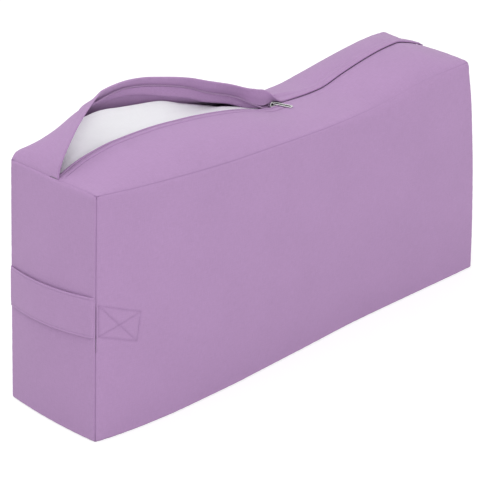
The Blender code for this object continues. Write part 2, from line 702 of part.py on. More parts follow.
def strap(name, side, material):
    """A carrying strap across one end, with tails that go in through the corner seams."""
    half = STRAP_THICKNESS / 2
    tail_y = HALF_WIDTH - COVER_THICKNESS - STRAP_SLACK - half
    corner_z = STRAP_HEIGHT + STRAP_CORNER_RISE + STRAP_LEAN
    reach = half + STRAP_SLACK
    turn_x = reach - STRAP_TURN
    stations = []
    for k in range(STRAP_TAIL_STEPS + 1):
        inward = mix(STRAP_TAIL, -turn_x, k / STRAP_TAIL_STEPS)
        stations.append((-inward, -tail_y, (0.0, -1.0), corner_z - STRAP_TAIL_DROP * inward / STRAP_TAIL))
    for k in range(1, STRAP_TURN_STEPS):
        angle = math.radians(90) * k / STRAP_TURN_STEPS
        out = (math.sin(angle), -math.cos(angle))
        x, y = turn_x + out[0] * STRAP_TURN, STRAP_TURN - tail_y + out[1] * STRAP_TURN
        stations.append((x, y, out, corner_z))
    turned = len(stations)
    flat_start = STRAP_TURN - tail_y
    for k in range(STRAP_FLAT_STEPS + 1):
        y = mix(flat_start, -flat_start, k / STRAP_FLAT_STEPS)
        across = y / flat_start
        z = STRAP_HEIGHT + STRAP_CORNER_RISE * across**2 + STRAP_LEAN * across
        stations.append((reach + STRAP_BOW * (1 - across**2), y, (1.0, 0.0), z))
    for x, y, out, z in reversed(stations[:turned]):
        stations.append((x, -y, (out[0], -out[1]), z - 2 * STRAP_LEAN))
    columns = tuple(range(len(stations)))

    def place(u, v, layer):
        x, y, out, z = stations[u]
        offset = half * (1 - 2 * layer)
        z += mix(-STRAP_WIDTH / 2, STRAP_WIDTH / 2, v)
        base = half_length(z)
        return puffed(side * (base + x + out[0] * offset), y + out[1] * offset, z)

    return slab(name, columns, (0.0, 1.0), place, material)


def batting_wrap(material):
    """The soft layer wound round the foam, its long edges meeting under the zip."""
    outer_y, slit = HALF_WIDTH - FILL_SIDE_DEPTH, BATTING_SLIT / 2
    inner_y = CORE_HALF_WIDTH + CLEARANCE
    top, base = HEIGHT - FILL_TOP_DEPTH, FILL_BASE_DEPTH
    inner_top, inner_base = CORE_TOP + CLEARANCE, CORE_BOTTOM - CLEARANCE
    half_route = []
    for part in FULL_TOP_SHARES:
        if part < 1 / 2:
            continue
        across = 2 * part - 1
        half_route.append((mix(slit, outer_y, across), top, mix(slit, inner_y, across), inner_top))
    for part in reversed(LINER_HEIGHT_SHARES[:-1]):
        half_route.append((outer_y, mix(base, top, part), inner_y, mix(inner_base, inner_top, part)))
    route = half_route + [(-spot[0], spot[1], -spot[2], spot[3]) for spot in reversed(half_route)]

    def place(u, v, layer):
        outer_spot_y, outer_z, inner_spot_y, inner_z = route[v]
        y, z = (inner_spot_y, inner_z) if layer else (outer_spot_y, outer_z)
        x = station_x(u, z, FILL_END_DEPTH)
        spot = puffed(x, y, z, lifted=True)
        return Vector((spot.x, y, z)) if layer else spot

    return slab("batting_wrap", STATIONS, tuple(range(len(route))), place, material)


def batting_end(name, side, material):
    """The pad between the end of the foam and the end of the case, as large as the foam."""

    def place(u, v, layer):
        y = mix(-1, 1, u) * CORE_HALF_WIDTH
        z = mix(CORE_BOTTOM, CORE_TOP, v)
        if layer:
            return Vector((side * (CORE_HALF_LENGTH + CLEARANCE), y, z))
        spot = puffed(side * (half_length(z) - FILL_END_DEPTH), y, z)
        return Vector((spot.x, y, z))

    return slab(name, END_SHARES, LINER_HEIGHT_SHARES, place, material)


def main():
    clear_scene()
    lilac = make_material("lilac cloth", LILAC, 0.9)
    tape = make_material("lilac tape", LILAC_TAPE, 0.85)
    coil = make_material("lilac coil", LILAC_TAPE, 0.45)
    cotton = make_material("white cotton", WHITE_COTTON, 0.9)
    batting = make_material("batting", BATTING_WHITE, 1.0)
    foam = make_material("foam", FOAM_CREAM, 0.95)
    nickel = make_material("nickel", NICKEL, 0.28, 1.0)

    cover = (0.0, 0.0, 0.0, 0.0)
    liner = (LINER_SIDE_DEPTH, LINER_END_DEPTH, LINER_BASE_DEPTH, LINER_TOP_DEPTH)
    broad_panel("cover_front_panel", -1, cover, COVER_THICKNESS, COVER_HEIGHT_SHARES, lilac)
    broad_panel("cover_back_panel", 1, cover, COVER_THICKNESS, COVER_HEIGHT_SHARES, lilac)
    end_panel("cover_left_end", -1, cover, COVER_THICKNESS, COVER_HEIGHT_SHARES, lilac, slotted=True)
    end_panel("cover_right_end", 1, cover, COVER_THICKNESS, COVER_HEIGHT_SHARES, lilac, slotted=True)
    base_panel("cover_base_strip", cover, COVER_THICKNESS, lilac)
    top_front_half(lilac)
    top_back_half(lilac)
    zip_chain(tape, coil)
    stops(nickel)
    slider(nickel)
    pull_tab(nickel)
    strap("handle_left", -1, lilac)
    strap("handle_right", 1, lilac)
    broad_panel("liner_front_panel", -1, liner, LINER_THICKNESS, LINER_HEIGHT_SHARES, cotton, lifted=True)
    broad_panel("liner_back_panel", 1, liner, LINER_THICKNESS, LINER_HEIGHT_SHARES, cotton, lifted=True)
    end_panel("liner_left_end", -1, liner, LINER_THICKNESS, LINER_HEIGHT_SHARES, cotton, lifted=True)
    end_panel("liner_right_end", 1, liner, LINER_THICKNESS, LINER_HEIGHT_SHARES, cotton, lifted=True)
    base_panel("liner_base_strip", liner, LINER_THICKNESS, cotton)
    liner_top("liner_top_strip", liner, LINER_THICKNESS, cotton)
    batting_wrap(batting)
    batting_end("batting_end_left", -1, batting)
    batting_end("batting_end_right", 1, batting)
    core_low = (-CORE_HALF_LENGTH, -CORE_HALF_WIDTH, CORE_BOTTOM)
    core_high = (CORE_HALF_LENGTH, CORE_HALF_WIDTH, CORE_TOP)
    bevelled_box("foam_core", core_low, core_high, CORE_BEVEL, foam)


main()
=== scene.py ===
"""Finished pieces for a rectangular yoga bolster: a zipped lilac cover with straps over a white cushion.

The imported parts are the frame. Each operator dresses one group of them with finely shaped cloth, zip or
filling. Sizes are in metres. +X runs along the bolster towards the closed end of the zip, its broad front
faces -Y and +Z is up. As in the part, everything soft is laid out in a plain box first and then puffed out
by one field.
"""

import math

import bmesh
import bpy
import numpy as np
from bpy.props import FloatProperty, FloatVectorProperty, PointerProperty
from mathutils import Matrix, Vector


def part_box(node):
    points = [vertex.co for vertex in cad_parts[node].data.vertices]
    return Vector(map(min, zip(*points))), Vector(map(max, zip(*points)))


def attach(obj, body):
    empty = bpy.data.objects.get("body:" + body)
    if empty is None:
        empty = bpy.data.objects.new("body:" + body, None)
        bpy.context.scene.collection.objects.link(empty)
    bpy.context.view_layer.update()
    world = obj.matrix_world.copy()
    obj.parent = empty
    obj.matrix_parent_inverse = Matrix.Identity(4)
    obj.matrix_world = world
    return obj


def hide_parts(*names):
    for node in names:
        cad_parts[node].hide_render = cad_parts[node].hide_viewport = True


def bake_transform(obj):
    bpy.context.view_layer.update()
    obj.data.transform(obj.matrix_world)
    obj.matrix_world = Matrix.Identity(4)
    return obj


bl_info = {
    "name": "Rectangular yoga bolster",
    "version": (1, 0, 0),
    "blender": (4, 5, 0),
    "location": "View3D > Sidebar > Bolster",
    "description": "Dresses the packed parts of a zipped yoga bolster with finished cloth, straps and zip",
    "category": "Object",
}

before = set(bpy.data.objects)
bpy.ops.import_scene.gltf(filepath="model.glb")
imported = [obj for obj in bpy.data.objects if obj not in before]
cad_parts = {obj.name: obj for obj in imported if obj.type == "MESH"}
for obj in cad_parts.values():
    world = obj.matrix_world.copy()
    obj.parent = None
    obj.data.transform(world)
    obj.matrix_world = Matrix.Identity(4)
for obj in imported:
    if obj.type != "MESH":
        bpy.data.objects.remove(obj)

# The bolster's plain box and how its filling puffs it out, as in the part
TOP_LENGTH = 0.650
BASE_LENGTH = 0.684
WIDTH = 0.152
HEIGHT = 0.305
HALF_WIDTH = WIDTH / 2
HALF_TOP = TOP_LENGTH / 2
BASE_BOW = 0.0160
MIDDLE_BULGE = 0.0090
TOP_BOW = 0.0060
END_BULGE = 0.0060
BASE_END_BULGE = 0.0040
SEAM_SAG = 0.0170
CROWN = 0.0220
LINER_LIFT = 0.0230
BACK_RISE = 0.0100
ZIP_STRAIGHT_SHARE = 0.25

# Zip, lap and straps, as in the part
COVER_THICKNESS = 0.0015
LINER_THICKNESS = 0.0010
ZIP_DEPTH = 0.0026
TAPE_DEPTHS = (0.0023, 0.0029)
TAPE_REACH = (0.0028, 0.0148)
COIL_REACH = (0.00015, 0.00235)
COIL_HEIGHT = 0.0022
ZIP_HALF_LENGTH = HALF_TOP - 0.0018
FRONT_FOLD_SETBACK = 0.0052
LAP_ROOT_SETBACK = 0.0060
LAP_OVERLAP = 0.0090
LAP_INSIDE = 0.0004
LAP_OUTSIDE = 0.0030
FLAP_RISE = 0.0500
ZIP_BOW = 0.0120
LAP_RIDGE = 0.0060
LAP_TUCK = 0.0052
PULL_WIDENING = 1.16
LINER_NEAR_RISE = 0.0055
SLIDER_X = 0.0280
SLIDER_LENGTH = 0.0110
SLIDER_LEVEL_SHARE = 0.75
SLIDER_FADE_SHARE = 1.5
MOUTH_SPREAD = 0.00125
STRAP_WIDTH = 0.050
STRAP_THICKNESS = 0.0020
STRAP_HEIGHT = 0.1525
STRAP_CORNER_RISE = 0.0010
STRAP_LEAN = 0.0040
STRAP_BOW = 0.0010
STRAP_SLACK = 0.0008
STRAP_TAIL = 0.0660
STRAP_TAIL_DROP = 0.0300
STRAP_TURN = 0.0022
LINER_DEPTHS = {"side": 0.0051, "end": 0.0023, "base": 0.0018, "top": 0.0063}

# In what follows, a pair named SPOT is a place and a width. A pair given to eased is where a change starts
# and where it ends.
ZIP_BOW_LEVELS = (0.85, 1)
LINER_NEAR_SPOT = (0.17, 0.13)
SOFT_LEVELS = (HEIGHT - 0.060, HEIGHT - 0.012)
BACK_HALF = (-0.02, 0.05)
BACK_CRISPNESS = 0.6
BACK_LEFT_CRISPNESS = 0.35
BACK_LEFT_CORNER = (0.20, 0.30)
BACK_RIGHT_SOFTNESS = 1.4
BACK_RIGHT_CORNER = (0.25, 0.32)

# Seams: where each is grooved, ridged and gathered, and where painted shade darkens it
SOFT_SEAM_LOSS = 0.85
TOP_SEAM_LOSS = 0.5
TOP_SEAM_LEVELS = (HEIGHT - 0.012, HEIGHT - 0.004)
CORNER_DIP_SHARE = 2.2
CORNER_DIP_WIDTH = 0.0055
SEAM_RIDGE_SPOT = (0.0030, 0.0014)
GATHER_PITCHES = (0.0135, 0.037, 0.21)
GATHER_START = 0.0016
GATHER_FADE = 0.011
BACK_GATHER_SHARE = 2.2
BACK_GATHER_SPOT = (0.285, 0.045)
BACK_GATHER_FROM = (0.06, 0.2)
DRIFT_HEIGHT = 0.0004
DRIFT_SIZE = 0.042
DRIFT_FADE = (0.004, 0.05)
SEAM_LINE_WIDTH = 0.0007
TOP_LINE_GAIN = 0.9
END_LINE_LOSS = 1.5
TOP_ENDS = (HALF_TOP - 0.008, HALF_TOP - 0.002)
NOTCH_WIDTH = 0.0013
NOTCH_LENGTH = 0.0065

# How finely the cloth is divided, beside a seam (in millimetres from it) and away from it
SEAM_STEPS = (0.0, 0.35, 0.7, 1.1, 1.6, 2.2, 2.9, 3.7, 4.7, 6.0, 8.0, 10.5)
PANEL_PITCH = 0.0045
PANEL_ROW_PITCH = 0.0048
BASE_PITCH = 0.0050
TOP_PITCH = 0.0040
TOP_ROW_PITCH = 0.0042
FLAP_PITCH = 0.0035
CUSHION_PITCH = 0.0060
CUSHION_ROW_PITCH = 0.0090
BOX_PITCH = 0.0016
PANEL_ROW_GAP = 0.0003

# Crossed box of stitching at the left end of the broad front, and how the strap's tail lifts the cloth
# there. Its corners are x and z of the plain box, and its order says which of them its lines join.
CROSS_BOX = ((-0.3215, 0.1728), (-0.3215, 0.1344), (-0.2730, 0.1156), (-0.2675, 0.1517))
CROSS_ORDER = ((0, 1), (1, 2), (2, 3), (3, 0), (0, 2), (1, 3))
BOX_COLUMNS = (0.266, HALF_TOP - 0.0105)
BOX_ROWS = (0.110, 0.180)
BOX_LINE_STEPS = 25
BOX_DENT = 0.0007
BOX_DENT_WIDTH = 0.0013
BOX_LINE_SHADE = 0.5
TAIL_RISE = 0.0006
TAIL_COLUMNS = (0.268, 0.276)
TAIL_LOW_ROWS = (0.112, 0.120)
TAIL_HIGH_ROWS = (0.168, 0.176)
THREAD_LIFT = 0.0001
STITCH_PART = (0.08, 0.92)
STITCH_HEIGHT_SHARE = 0.4
STITCH_SHARP = 180

# Hem along the front of the zip: its rows (in millimetres from the fold), its folds and stitching, and its
# painted shade
HEM_STEPS = (
    0.0, 0.15, 0.4, 0.8, 1.3, 1.8, 2.2, 2.5, 2.8, 3.1, 3.4, 3.8, 4.6, 5.8, 7.2, 8.4, 9.2, 9.7, 10.2,
    10.7, 11.2, 12.0, 13.2, 14.6,
)
HEM_ROWS_START = -0.020
HEM_CLOSED = (SLIDER_X + 0.006, SLIDER_X + 0.030)
HEM_RAISED = (SLIDER_X - 0.045, SLIDER_X - 0.015)
HEM_ENDS = (0.001, 0.012)
HEM_CLOSED_LOSS = 0.9
HEM_ROLL = 0.0009
HEM_ROLL_SPOT = (0.0013, 0.0011)
HEM_CREASE = 0.0011
HEM_CREASE_SPOT = (0.0028, 0.0005)
HEM_CREASE_SHADE = 0.9
HEM_STITCHING = 0.0102
HEM_STITCH_DENT = 0.0009
HEM_STITCH_SPOT = (HEM_STITCHING, 0.0007)
HEM_STITCH_SHADE = 0.6
HEM_PUFF = 0.0006
HEM_PUFF_START = (0.003, 0.005)
HEM_PUFF_END = (0.0085, HEM_STITCHING)
HEM_AFTER = 0.0005
HEM_AFTER_SPOT = (0.0124, 0.0015)
HEM_EXTRA_THICKNESS = 0.0006
HEM_THINNING = (0.002, 0.010)
HEM_UNDER_SPOT = (0.0006, 0.0009)
HEM_UNDER_SHADES = (0.25, 0.6)
HEM_UNDER_ALONG_SPOT = (0.075, 0.045)
PULL_DENT = 0.0012
PULL_DENT_SPOT = (SLIDER_X - 0.008, 0.020)
PULL_DENT_ACROSS_SPOT = (-0.021, 0.013)
HEM_ROW_GAP = 0.0001
HEM_THREAD_ENDS = (0.006, 0.012)
HEM_THREAD_STEPS = 170
HEM_THREAD_DROP = 0.0007
SEAM_BORDER = 0.2

# Lap over the zip: its rows (in millimetres before the root, then as parts of its overlap) and its forms
LAP_ROOT_STEPS = (11.5, 10.2, 9.0, 8.0, 7.0, 6.2, 5.4, 4.6, 3.9, 3.2, 2.4, 1.6, 0.8, 0.0)
LAP_ROOT_ROWS = 0.013
LAP_STEPS = (0.08, 0.17, 0.27, 0.38, 0.50, 0.62, 0.73, 0.82, 0.89, 0.94, 0.975, 0.993, 1.0)
LAP_TUCK_SPOT = (0.925, 0.05)
LAP_TUCK_END = (0, 0.04)
LAP_RIDGE_SPOT = (0.003, 0.0095)
LAP_STEP = (0.0065, 0.0002)
LAP_INNER_STEP = 0.0055
LAP_INNER_END = 0.03
LAP_STITCH_SPOT = (0.0035, 0.0008)
LAP_STITCH_DENT = 0.0003
LAP_STITCH_SHADE = 0.3
LAP_STITCH_FADE = (0.05, 0.30)
LAP_ENDS = (0.0, 0.012)
LAP_END_SHARE = 0.15
LAP_INNER_END_SHARE = 0.6
LAP_LEFT = (0.010, 0.120)
LAP_LEFT_SHARE = 0.3
FLAP_HEADING_STEP = 0.02

# Zip chain
TAPE_STEPS = (0.0040, 0.0050, 0.0060, 0.0070, 0.0080, 0.0090, 0.0100, 0.0110, 0.0120, 0.0130, 0.0138)
TAPE_EDGE = 0.0003
TAPE_COLUMNS = 190
COIL_PITCH = 0.0015
COIL_WIRE = 0.00036
COIL_TURN_STEPS = 10
COIL_END_GAP = 0.0079

# Slider and pull, from the slider's middle or the pull's
SLIDER_MIDDLE = 0.0029
PLATE_LEVELS = (0.0017, 0.0029)
PLATE_BEVEL = 0.00035
FLANGE_LEVELS = ((0.0006, 0.0019), (-0.0019, -0.0006))
FLANGE_BEVEL = 0.00012
THIN_BEVEL = 0.0001
SLIDER_ROUNDNESS = (0.45, 0.55)
SLIDER_NARROW_SHARE = 0.78
SLIDER_SHOULDER_SHARE = 0.35
FLANGE_INSETS = (0.0008, 0.0001, 0.0007)
FLANGE_SHARES = (0.86, 0.2, 0.8)
SADDLE_SHARES = (0.62, 0.62, 0.55)
WEDGE_LENGTH = 0.0036
WEDGE_HALF_WIDTH = 0.0007
BRIDGE_LENGTH = 0.0072
BRIDGE_FOOT = 0.0026
BRIDGE_RISE = 0.0029
BRIDGE_STEPS = 33
BRIDGE_SECTION = (0.0016, 0.0009, 0.00035)
SADDLE_LEVELS = (0.0030, 0.0033)
METAL_SHARP = 35
RIM_ANGLE = 0.9
PULL_BAR = 0.00140
PULL_THICKNESS = 0.0016
PULL_ROUNDING = 0.00045
TIP_LEVELS = (-0.0004, 0.0005)
TIP_START = 0.0052
TIP_LENGTH = 0.0045
TIP_WIDTH_SHARE = 0.80
POST_LEVELS = (-0.0004, 0.0002)
POST_START = 0.0042
POST_HALF_LENGTH = 0.0006
POST_WIDTH_SHARE = 0.72
# The dark plate in the pull's slot, which stands for the shade there
RECESS_LEVELS = (-0.0004, 0.00055)
RECESS_LENGTH_SHARE = 0.80
RECESS_SHIFT = 0.0002
RECESS_BAR_SHARE = 0.7
RECESS_ROUNDNESS = (0.3, 0.5)
RECESS_BEVEL = 0.00008

# Straps: rows (in millimetres from an edge) and the topstitching
STRAP_EDGE_STEPS = (0.0, 0.12, 0.35, 0.7, 1.1, 1.7, 2.3, 2.8, 3.3, 4.0, 5.0, 6.5)
STRAP_MIDDLE_START = 0.0095
STRAP_STITCH_SPOT = (0.0028, 0.0006)
STRAP_STITCH_DENT = 0.30
STRAP_STITCH_SHADE = 0.5
STRAP_PUFF = 0.18
STRAP_PUFF_START = (0.003, 0.008)
STRAP_EDGE_THINNING = 0.97
STRAP_TAIL_STEPS = 16
STRAP_TURN_STEPS = 8
STRAP_FLAT_STEPS = 28

# Cushion and filling
CUSHION_STRENGTH = 0.7
CUSHION_DRIFT = 0.0004
CUSHION_DRIFT_SIZE = 0.026
CUSHION_DRIFT_FADE = (0.004, 0.03)
FOAM_BEVEL = 0.004
BATTING_LONGEST = 0.02
BATTING_SINK = 0.0004
BATTING_DRIFT = 0.0003
BATTING_DRIFT_SIZE = 0.008

# Materials: scales and stretches of their noise, shares of what is mixed, bumps as strength and depth
CLOTH_YARNS = ((1500.0, 180.0, 2.0), (760.0, 80.0, 3.0))
CLOTH_PATCHES = 14.0
CLOTH_TONES = (0.38, 0.62)
CLOTH_YARN_SHARE = 0.45
CLOTH_SLUB_SHARE = 0.40
CLOTH_PATCH_SHARE = 0.15
CLOTH_BUMP_SHARES = (0.6, 0.9)
CLOTH_BUMP = (0.35, 0.00022)
CLOTH_GLOSS = {"Roughness": 0.88, "Sheen Weight": 0.12, "Sheen Roughness": 0.5, "Specular IOR Level": 0.25}
# Painted shade: the colour that darkens the cloth along seams, creases, stitching and under the lap
PAINTED_SEAM_SHADE = (0.45, 0.40, 0.50, 1.0)
LILAC_WEAVE = (0.62, 0.035)
COTTON_WEAVE = (0.75, 0.012)
NOISE_TONES = (0.3, 0.7)
TAPE_MIDDLE = 0.006
TWILL_PITCH = 0.0011
TAPE_YARN = (250.0, 1200.0, 1.0)
TAPE_SHADES = (0.92, 1.07)
TAPE_BUMP = (0.3, 0.0002)
TAPE_GLOSS = {"Roughness": 0.8, "Specular IOR Level": 0.3}
NYLON_GRAIN = 900.0
NYLON_SHADES = (0.94, 1.05)
NYLON_BUMP = (0.08, 0.0001)
NYLON_GLOSS = {"Roughness": 0.38}
NICKEL_PATCHES = 420.0
NICKEL_SCRATCHES = (300.0, 4200.0, 4200.0)
NICKEL_SHADES = (0.90, 1.08)
NICKEL_DULLNESS = (0.18, 0.16)
NICKEL_BUMP = (0.06, 0.00005)
# How far the nickel is darkened where it stands for shade
DARK_NICKEL_SHADE = 0.05
FILLING_TANGLE = (4.0, 0.6)
FILLING_CELLS = 1.6
FILLING_SHADES = (0.90, 1.05)
FILLING_BUMP_DEPTH = 0.0008
FILLING_GLOSS = {"Roughness": 0.95}
FOAM_LOOK = (700.0, 0.5, 0.8)
BATTING_LOOK = (260.0, 0.6)

# Stage: the camera solved from the photograph, with its reach in pixels, and the lamps as name, place, aim,
# size and setting
CAMERA_PLACE = (-1.5013, -1.4927, 1.0802)
CAMERA_ANGLES = (-44.601, 24.3035, -0.1366)
CAMERA_REACH = 1819.5
PICTURE_SIDE = 480
SENSOR_WIDTH = 36.0
CAMERA_CLIP = 50.0
LAMPS = (
    ("front_softbox", (0.7, -2.0, 1.2), (0.15, 0.0, 0.15), 1.8, "key"),
    ("overhead_softbox", (-0.6, 0.9, 2.0), (0.0, 0.0, 0.1), 2.0, "above"),
    ("side_softbox", (-1.7, -1.4, 1.5), (-0.2, 0.0, 0.25), 1.4, "side"),
)
FLOOR_SIZE = 6.0
FLOOR_GREY = 0.80
FLOOR_SEEN_GREY = 0.45
FLOOR_GLOW = 0.69

# (place, share) points of how much of a measure above applies. Places run from -1 to 1 along or across the
# bolster, or from 0 at the left end to 1 at the slider along its mouth and on past it.
SEAM_SAG_SHARES = (
    (-1.0, 0.0), (-0.79, 0.47), (-0.32, 0.94), (0.10, 1.0), (0.45, 0.72), (0.72, 0.24), (1.0, 0.0),
)
CROWN_SHARES = (
    (-1.0, 0.0), (-0.87, 0.68), (-0.73, 0.99), (-0.58, 1.07), (-0.41, 0.94), (-0.28, 0.74),
    (-0.13, 0.39), (0.01, -0.12), (0.10, -0.24), (0.26, -0.30), (0.34, -0.25), (0.48, 0.25),
    (0.62, 0.70), (0.73, 0.93), (0.80, 0.97), (0.88, 0.72), (0.94, 0.42), (1.0, 0.10),
)
BASE_BOW_SHARES = (
    (-1.0, 0.08), (-0.93, 0.40), (-0.80, 0.78), (-0.62, 1.0), (-0.42, 1.0), (-0.20, 0.84), (0.0, 0.66),
    (0.35, 0.36), (0.70, 0.40), (0.90, 0.44), (1.0, 0.44),
)
BULGE_SHARES = (
    (-1.0, 0.0), (-0.9, 0.27), (-0.7, 0.66), (-0.4, 0.94), (0.0, 1.0), (0.4, 0.94), (0.7, 0.80),
    (1.0, 0.50),
)
BACK_RISE_SHARES = (
    (-1.0, 0.0), (-0.975, 0.70), (-0.95, 0.80), (-0.88, 0.65), (-0.80, 0.64), (-0.70, 0.56),
    (-0.58, 0.48), (-0.46, 0.22), (-0.30, 0.0), (0.0, -0.5), (0.20, -0.80), (0.35, -0.80),
    (0.49, -0.55), (0.68, -0.30), (0.80, 0.15), (0.875, 0.60), (0.95, 0.95), (1.0, 1.0),
)
LAP_TUCK_SHARES = (
    (0.0, 0.0), (0.36, 0.0), (0.52, 0.5), (0.64, 1.0), (0.88, 1.0), (0.95, 0.4), (0.99, 0.0),
    (2.0, 0.0),
)
LAP_RIDGE_SHARES = (
    (0.78, 0.0), (0.90, 0.45), (0.98, 0.95), (1.04, 1.0), (1.10, 0.70), (1.17, 0.25), (1.28, 0.0),
    (2.0, 0.0),
)
ZIP_BOW_SHARES = (
    (-1.0, 0.0), (0.09, 0.0), (0.16, 0.38), (0.24, 0.42), (0.45, 0.37), (0.70, 0.38), (0.85, 0.60),
    (1.0, 1.0),
)
LINER_LIFT_SHARES = (
    (0.0, 0.0), (0.046, 0.085), (0.138, 1.02), (0.276, 1.15), (0.387, 0.97), (0.552, 0.795),
    (0.663, 0.47), (0.792, 0.13), (0.86, 0.0), (1.0, 0.0),
)
LINER_NEAR_SHARES = (
    (0.0, 0.0), (0.66, 0.0), (0.72, 0.25), (0.80, 0.9), (0.86, 1.0), (0.92, 0.85), (0.955, 0.45),
    (0.985, 0.05), (1.0, 0.0),
)
LINER_LIFT_ACROSS_SHARES = (
    (-1.0, 0.0), (0.0, 0.0), (0.28, 0.45), (0.45, 1.18), (0.60, 0.40), (0.72, 0.29), (0.86, 0.05),
    (1.0, 0.0),
)
# Along the top's edges: how soft the seam is, from crisp (0) to fading into the stuffed cloth (1)
SOFT_SEAM_SHARES = (
    (-1.0, 0.34), (-0.90, 0.30), (-0.70, 0.12), (-0.40, 0.0), (0.05, 0.05), (0.30, 0.45), (0.52, 1.0),
    (0.74, 0.95), (0.90, 0.50), (1.0, 0.30),
)
# Along the mouth: the raised half's lap root and its fold, each as out and up
FLAP_SHARES = (
    (0.0, 0.0, 0.0, 0.0, 0.0),
    (0.028, 0.03, 0.255, 0.025, 0.31),
    (0.074, 0.105, 0.44, 0.1, 0.54),
    (0.138, 0.28, 0.57, 0.275, 0.70),
    (0.221, 0.535, 0.69, 0.525, 0.825),
    (0.295, 0.6, 0.705, 0.73, 0.93),
    (0.396, 0.67, 0.695, 0.825, 0.925),
    (0.479, 0.65, 0.645, 0.85, 0.895),
    (0.562, 0.565, 0.565, 0.765, 0.83),
    (0.663, 0.445, 0.445, 0.615, 0.745),
    (0.737, 0.295, 0.305, 0.465, 0.645),
    (0.856, 0.14, 0.2, 0.28, 0.525),
    (0.939, 0.0, 0.05, 0.29, 0.46),
    (0.976, 0.0, 0.0, 0.33, 0.41),
    (1.0, 0.0, 0.0, 0.29, 0.30),
    (1.02, 0.0, 0.0, 0.15, 0.10),
    (1.037, 0.0, 0.0, 0.085, 0.012),
    (1.06, 0.0, 0.0, 0.067, 0.0),
    (2.0, 0.0, 0.0, 0.067, 0.0),
)
FLAP_CURVE_SHARES = (
    (0.0, 1.0), (0.14, 1.12), (0.24, 1.21), (0.34, 1.46), (0.48, 1.73), (0.56, 2.03), (0.66, 2.28),
    (0.74, 2.66), (0.86, 3.0), (1.06, 3.0),
)
FLAP_LIFT_SHARES = (
    (0.0, 0.44), (0.14, 0.70), (0.24, 0.80), (0.34, 1.32), (0.48, 1.88), (0.56, 2.27), (0.66, 2.52),
    (0.74, 2.83), (0.86, 3.0), (1.06, 3.0),
)


def length_setting(name, description, default):
    return FloatProperty(name=name, description=description, default=default, unit="LENGTH")


def power_setting(name, description, default):
    return FloatProperty(name=name, description=description, default=default, unit="POWER")


def colour_setting(name, description, default):
    return FloatVectorProperty(name=name, description=description, default=default, subtype="COLOR")


class BolsterSewing(bpy.types.PropertyGroup):
    """How the cover is sewn."""

    seam_radius: length_setting("Seam radius", "Rounding of the cloth into a corner seam", 0.0030)
    soft_radius: length_setting("Soft radius", "Rounding where a seam fades into the stuffed top", 0.0150)
    seam_depth: length_setting("Seam depth", "How deep a seam's stitching pulls the cloth in", 0.0008)
    seam_width: length_setting("Seam width", "Half the width of the groove along a seam", 0.0007)
    ridge_height: length_setting("Ridge height", "Rise of the cloth over the folded edges inside", 0.00030)
    pucker_height: length_setting("Pucker height", "Height of the gathers beside a seam", 0.00035)
    stitch_length: length_setting("Stitch length", "Length of one stitch", 0.0030)
    stitch_width: length_setting("Thread width", "Width of the sewing thread", 0.00055)


class BolsterFinish(bpy.types.PropertyGroup):
    """Colours and cloth."""

    cloth_colour: colour_setting("Cloth", "Colour of the cover's cloth", (0.452, 0.279, 0.497))
    thread_colour: colour_setting("Thread", "Colour of the sewing thread", (0.36, 0.205, 0.40))
    tape_colour: colour_setting("Zip tape", "Colour of the zip's tapes", (0.43, 0.262, 0.473))
    coil_colour: colour_setting("Zip coil", "Colour of the zip's coils", (0.56, 0.38, 0.60))
    cotton_colour: colour_setting("Cotton", "Colour of the inner cushion's case", (0.945, 0.955, 0.97))
    batting_colour: colour_setting("Batting", "Colour of the soft layer round the foam", (0.82, 0.82, 0.79))
    foam_colour: colour_setting("Foam", "Colour of the foam core", (0.78, 0.70, 0.50))
    metal_colour: colour_setting("Metal", "Colour of the slider, pull and stops", (0.60, 0.61, 0.60))
    thread_pitch: length_setting("Thread pitch", "Distance between the threads of the weave", 0.00065)


class BolsterLight(bpy.types.PropertyGroup):
    """How the stage is lit."""

    surround: FloatProperty(name="Surround", description="Strength of the even light all round", default=0.64)
    key: power_setting("Key", "Power of the large lamp before it", 11.0)
    above: power_setting("Above", "Power of the large lamp above", 15.0)
    side: power_setting("Side", "Power of the lamp beside the open end", 12.5)


def through(points, place):
    """Values at places of a smooth curve through (place, value) points, flat at its own peaks."""
    xs, ys = np.array(points, float).T
    steepness = np.diff(ys) / np.diff(xs)
    tangents = np.concatenate((steepness[:1], np.zeros(len(xs) - 2), steepness[-1:]))
    before, after = steepness[:-1], steepness[1:]
    same = before * after > 0
    tangents[1:-1][same] = (2 * before * after)[same] / (before + after)[same]
    place = np.clip(place, xs[0], xs[-1])
    k = np.clip(np.searchsorted(xs, place, side="right") - 1, 0, len(xs) - 2)
    span = xs[k + 1] - xs[k]
    t = (place - xs[k]) / span
    return (
        ys[k] * (2 * t**3 - 3 * t**2 + 1)
        + tangents[k] * span * (t**3 - 2 * t**2 + t)
        + ys[k + 1] * (3 * t**2 - 2 * t**3)
        + tangents[k + 1] * span * (t**3 - t**2)
    )


def mix(low, high, part):
    return low + (high - low) * part


def eased(value, low, high):
    """0 below low and 1 above high, turning smoothly between."""
    part = np.clip((value - low) / (high - low), 0, 1)
    return part * part * (3 - 2 * part)


def bell(value, middle, width):
    return np.exp(-(((value - middle) / width) ** 2))


def points_of(*axes):
    """Points from their coordinates, which may be single numbers or grids."""
    return np.stack(np.broadcast_arrays(*axes), axis=-1).astype(float)


def crown_at(along):
    """The crown of the closed top, level where the zip runs through the slider."""
    away = np.abs(along * HALF_TOP - SLIDER_X) / SLIDER_LENGTH
    level = np.clip((SLIDER_LEVEL_SHARE + SLIDER_FADE_SHARE - away) / SLIDER_FADE_SHARE, 0, 1)
    at_slider = through(CROWN_SHARES, SLIDER_X / HALF_TOP)
    return CROWN * mix(through(CROWN_SHARES, along), at_slider, level)


def mouth_place(along):
    """How far along the open mouth: 0 at the left end, 1 at the slider."""
    return (along + 1) / (SLIDER_X / HALF_TOP + 1)


def zip_bow(along):
    """How far back the closed zip wanders towards its closed end."""
    return ZIP_BOW * through(ZIP_BOW_SHARES, along)


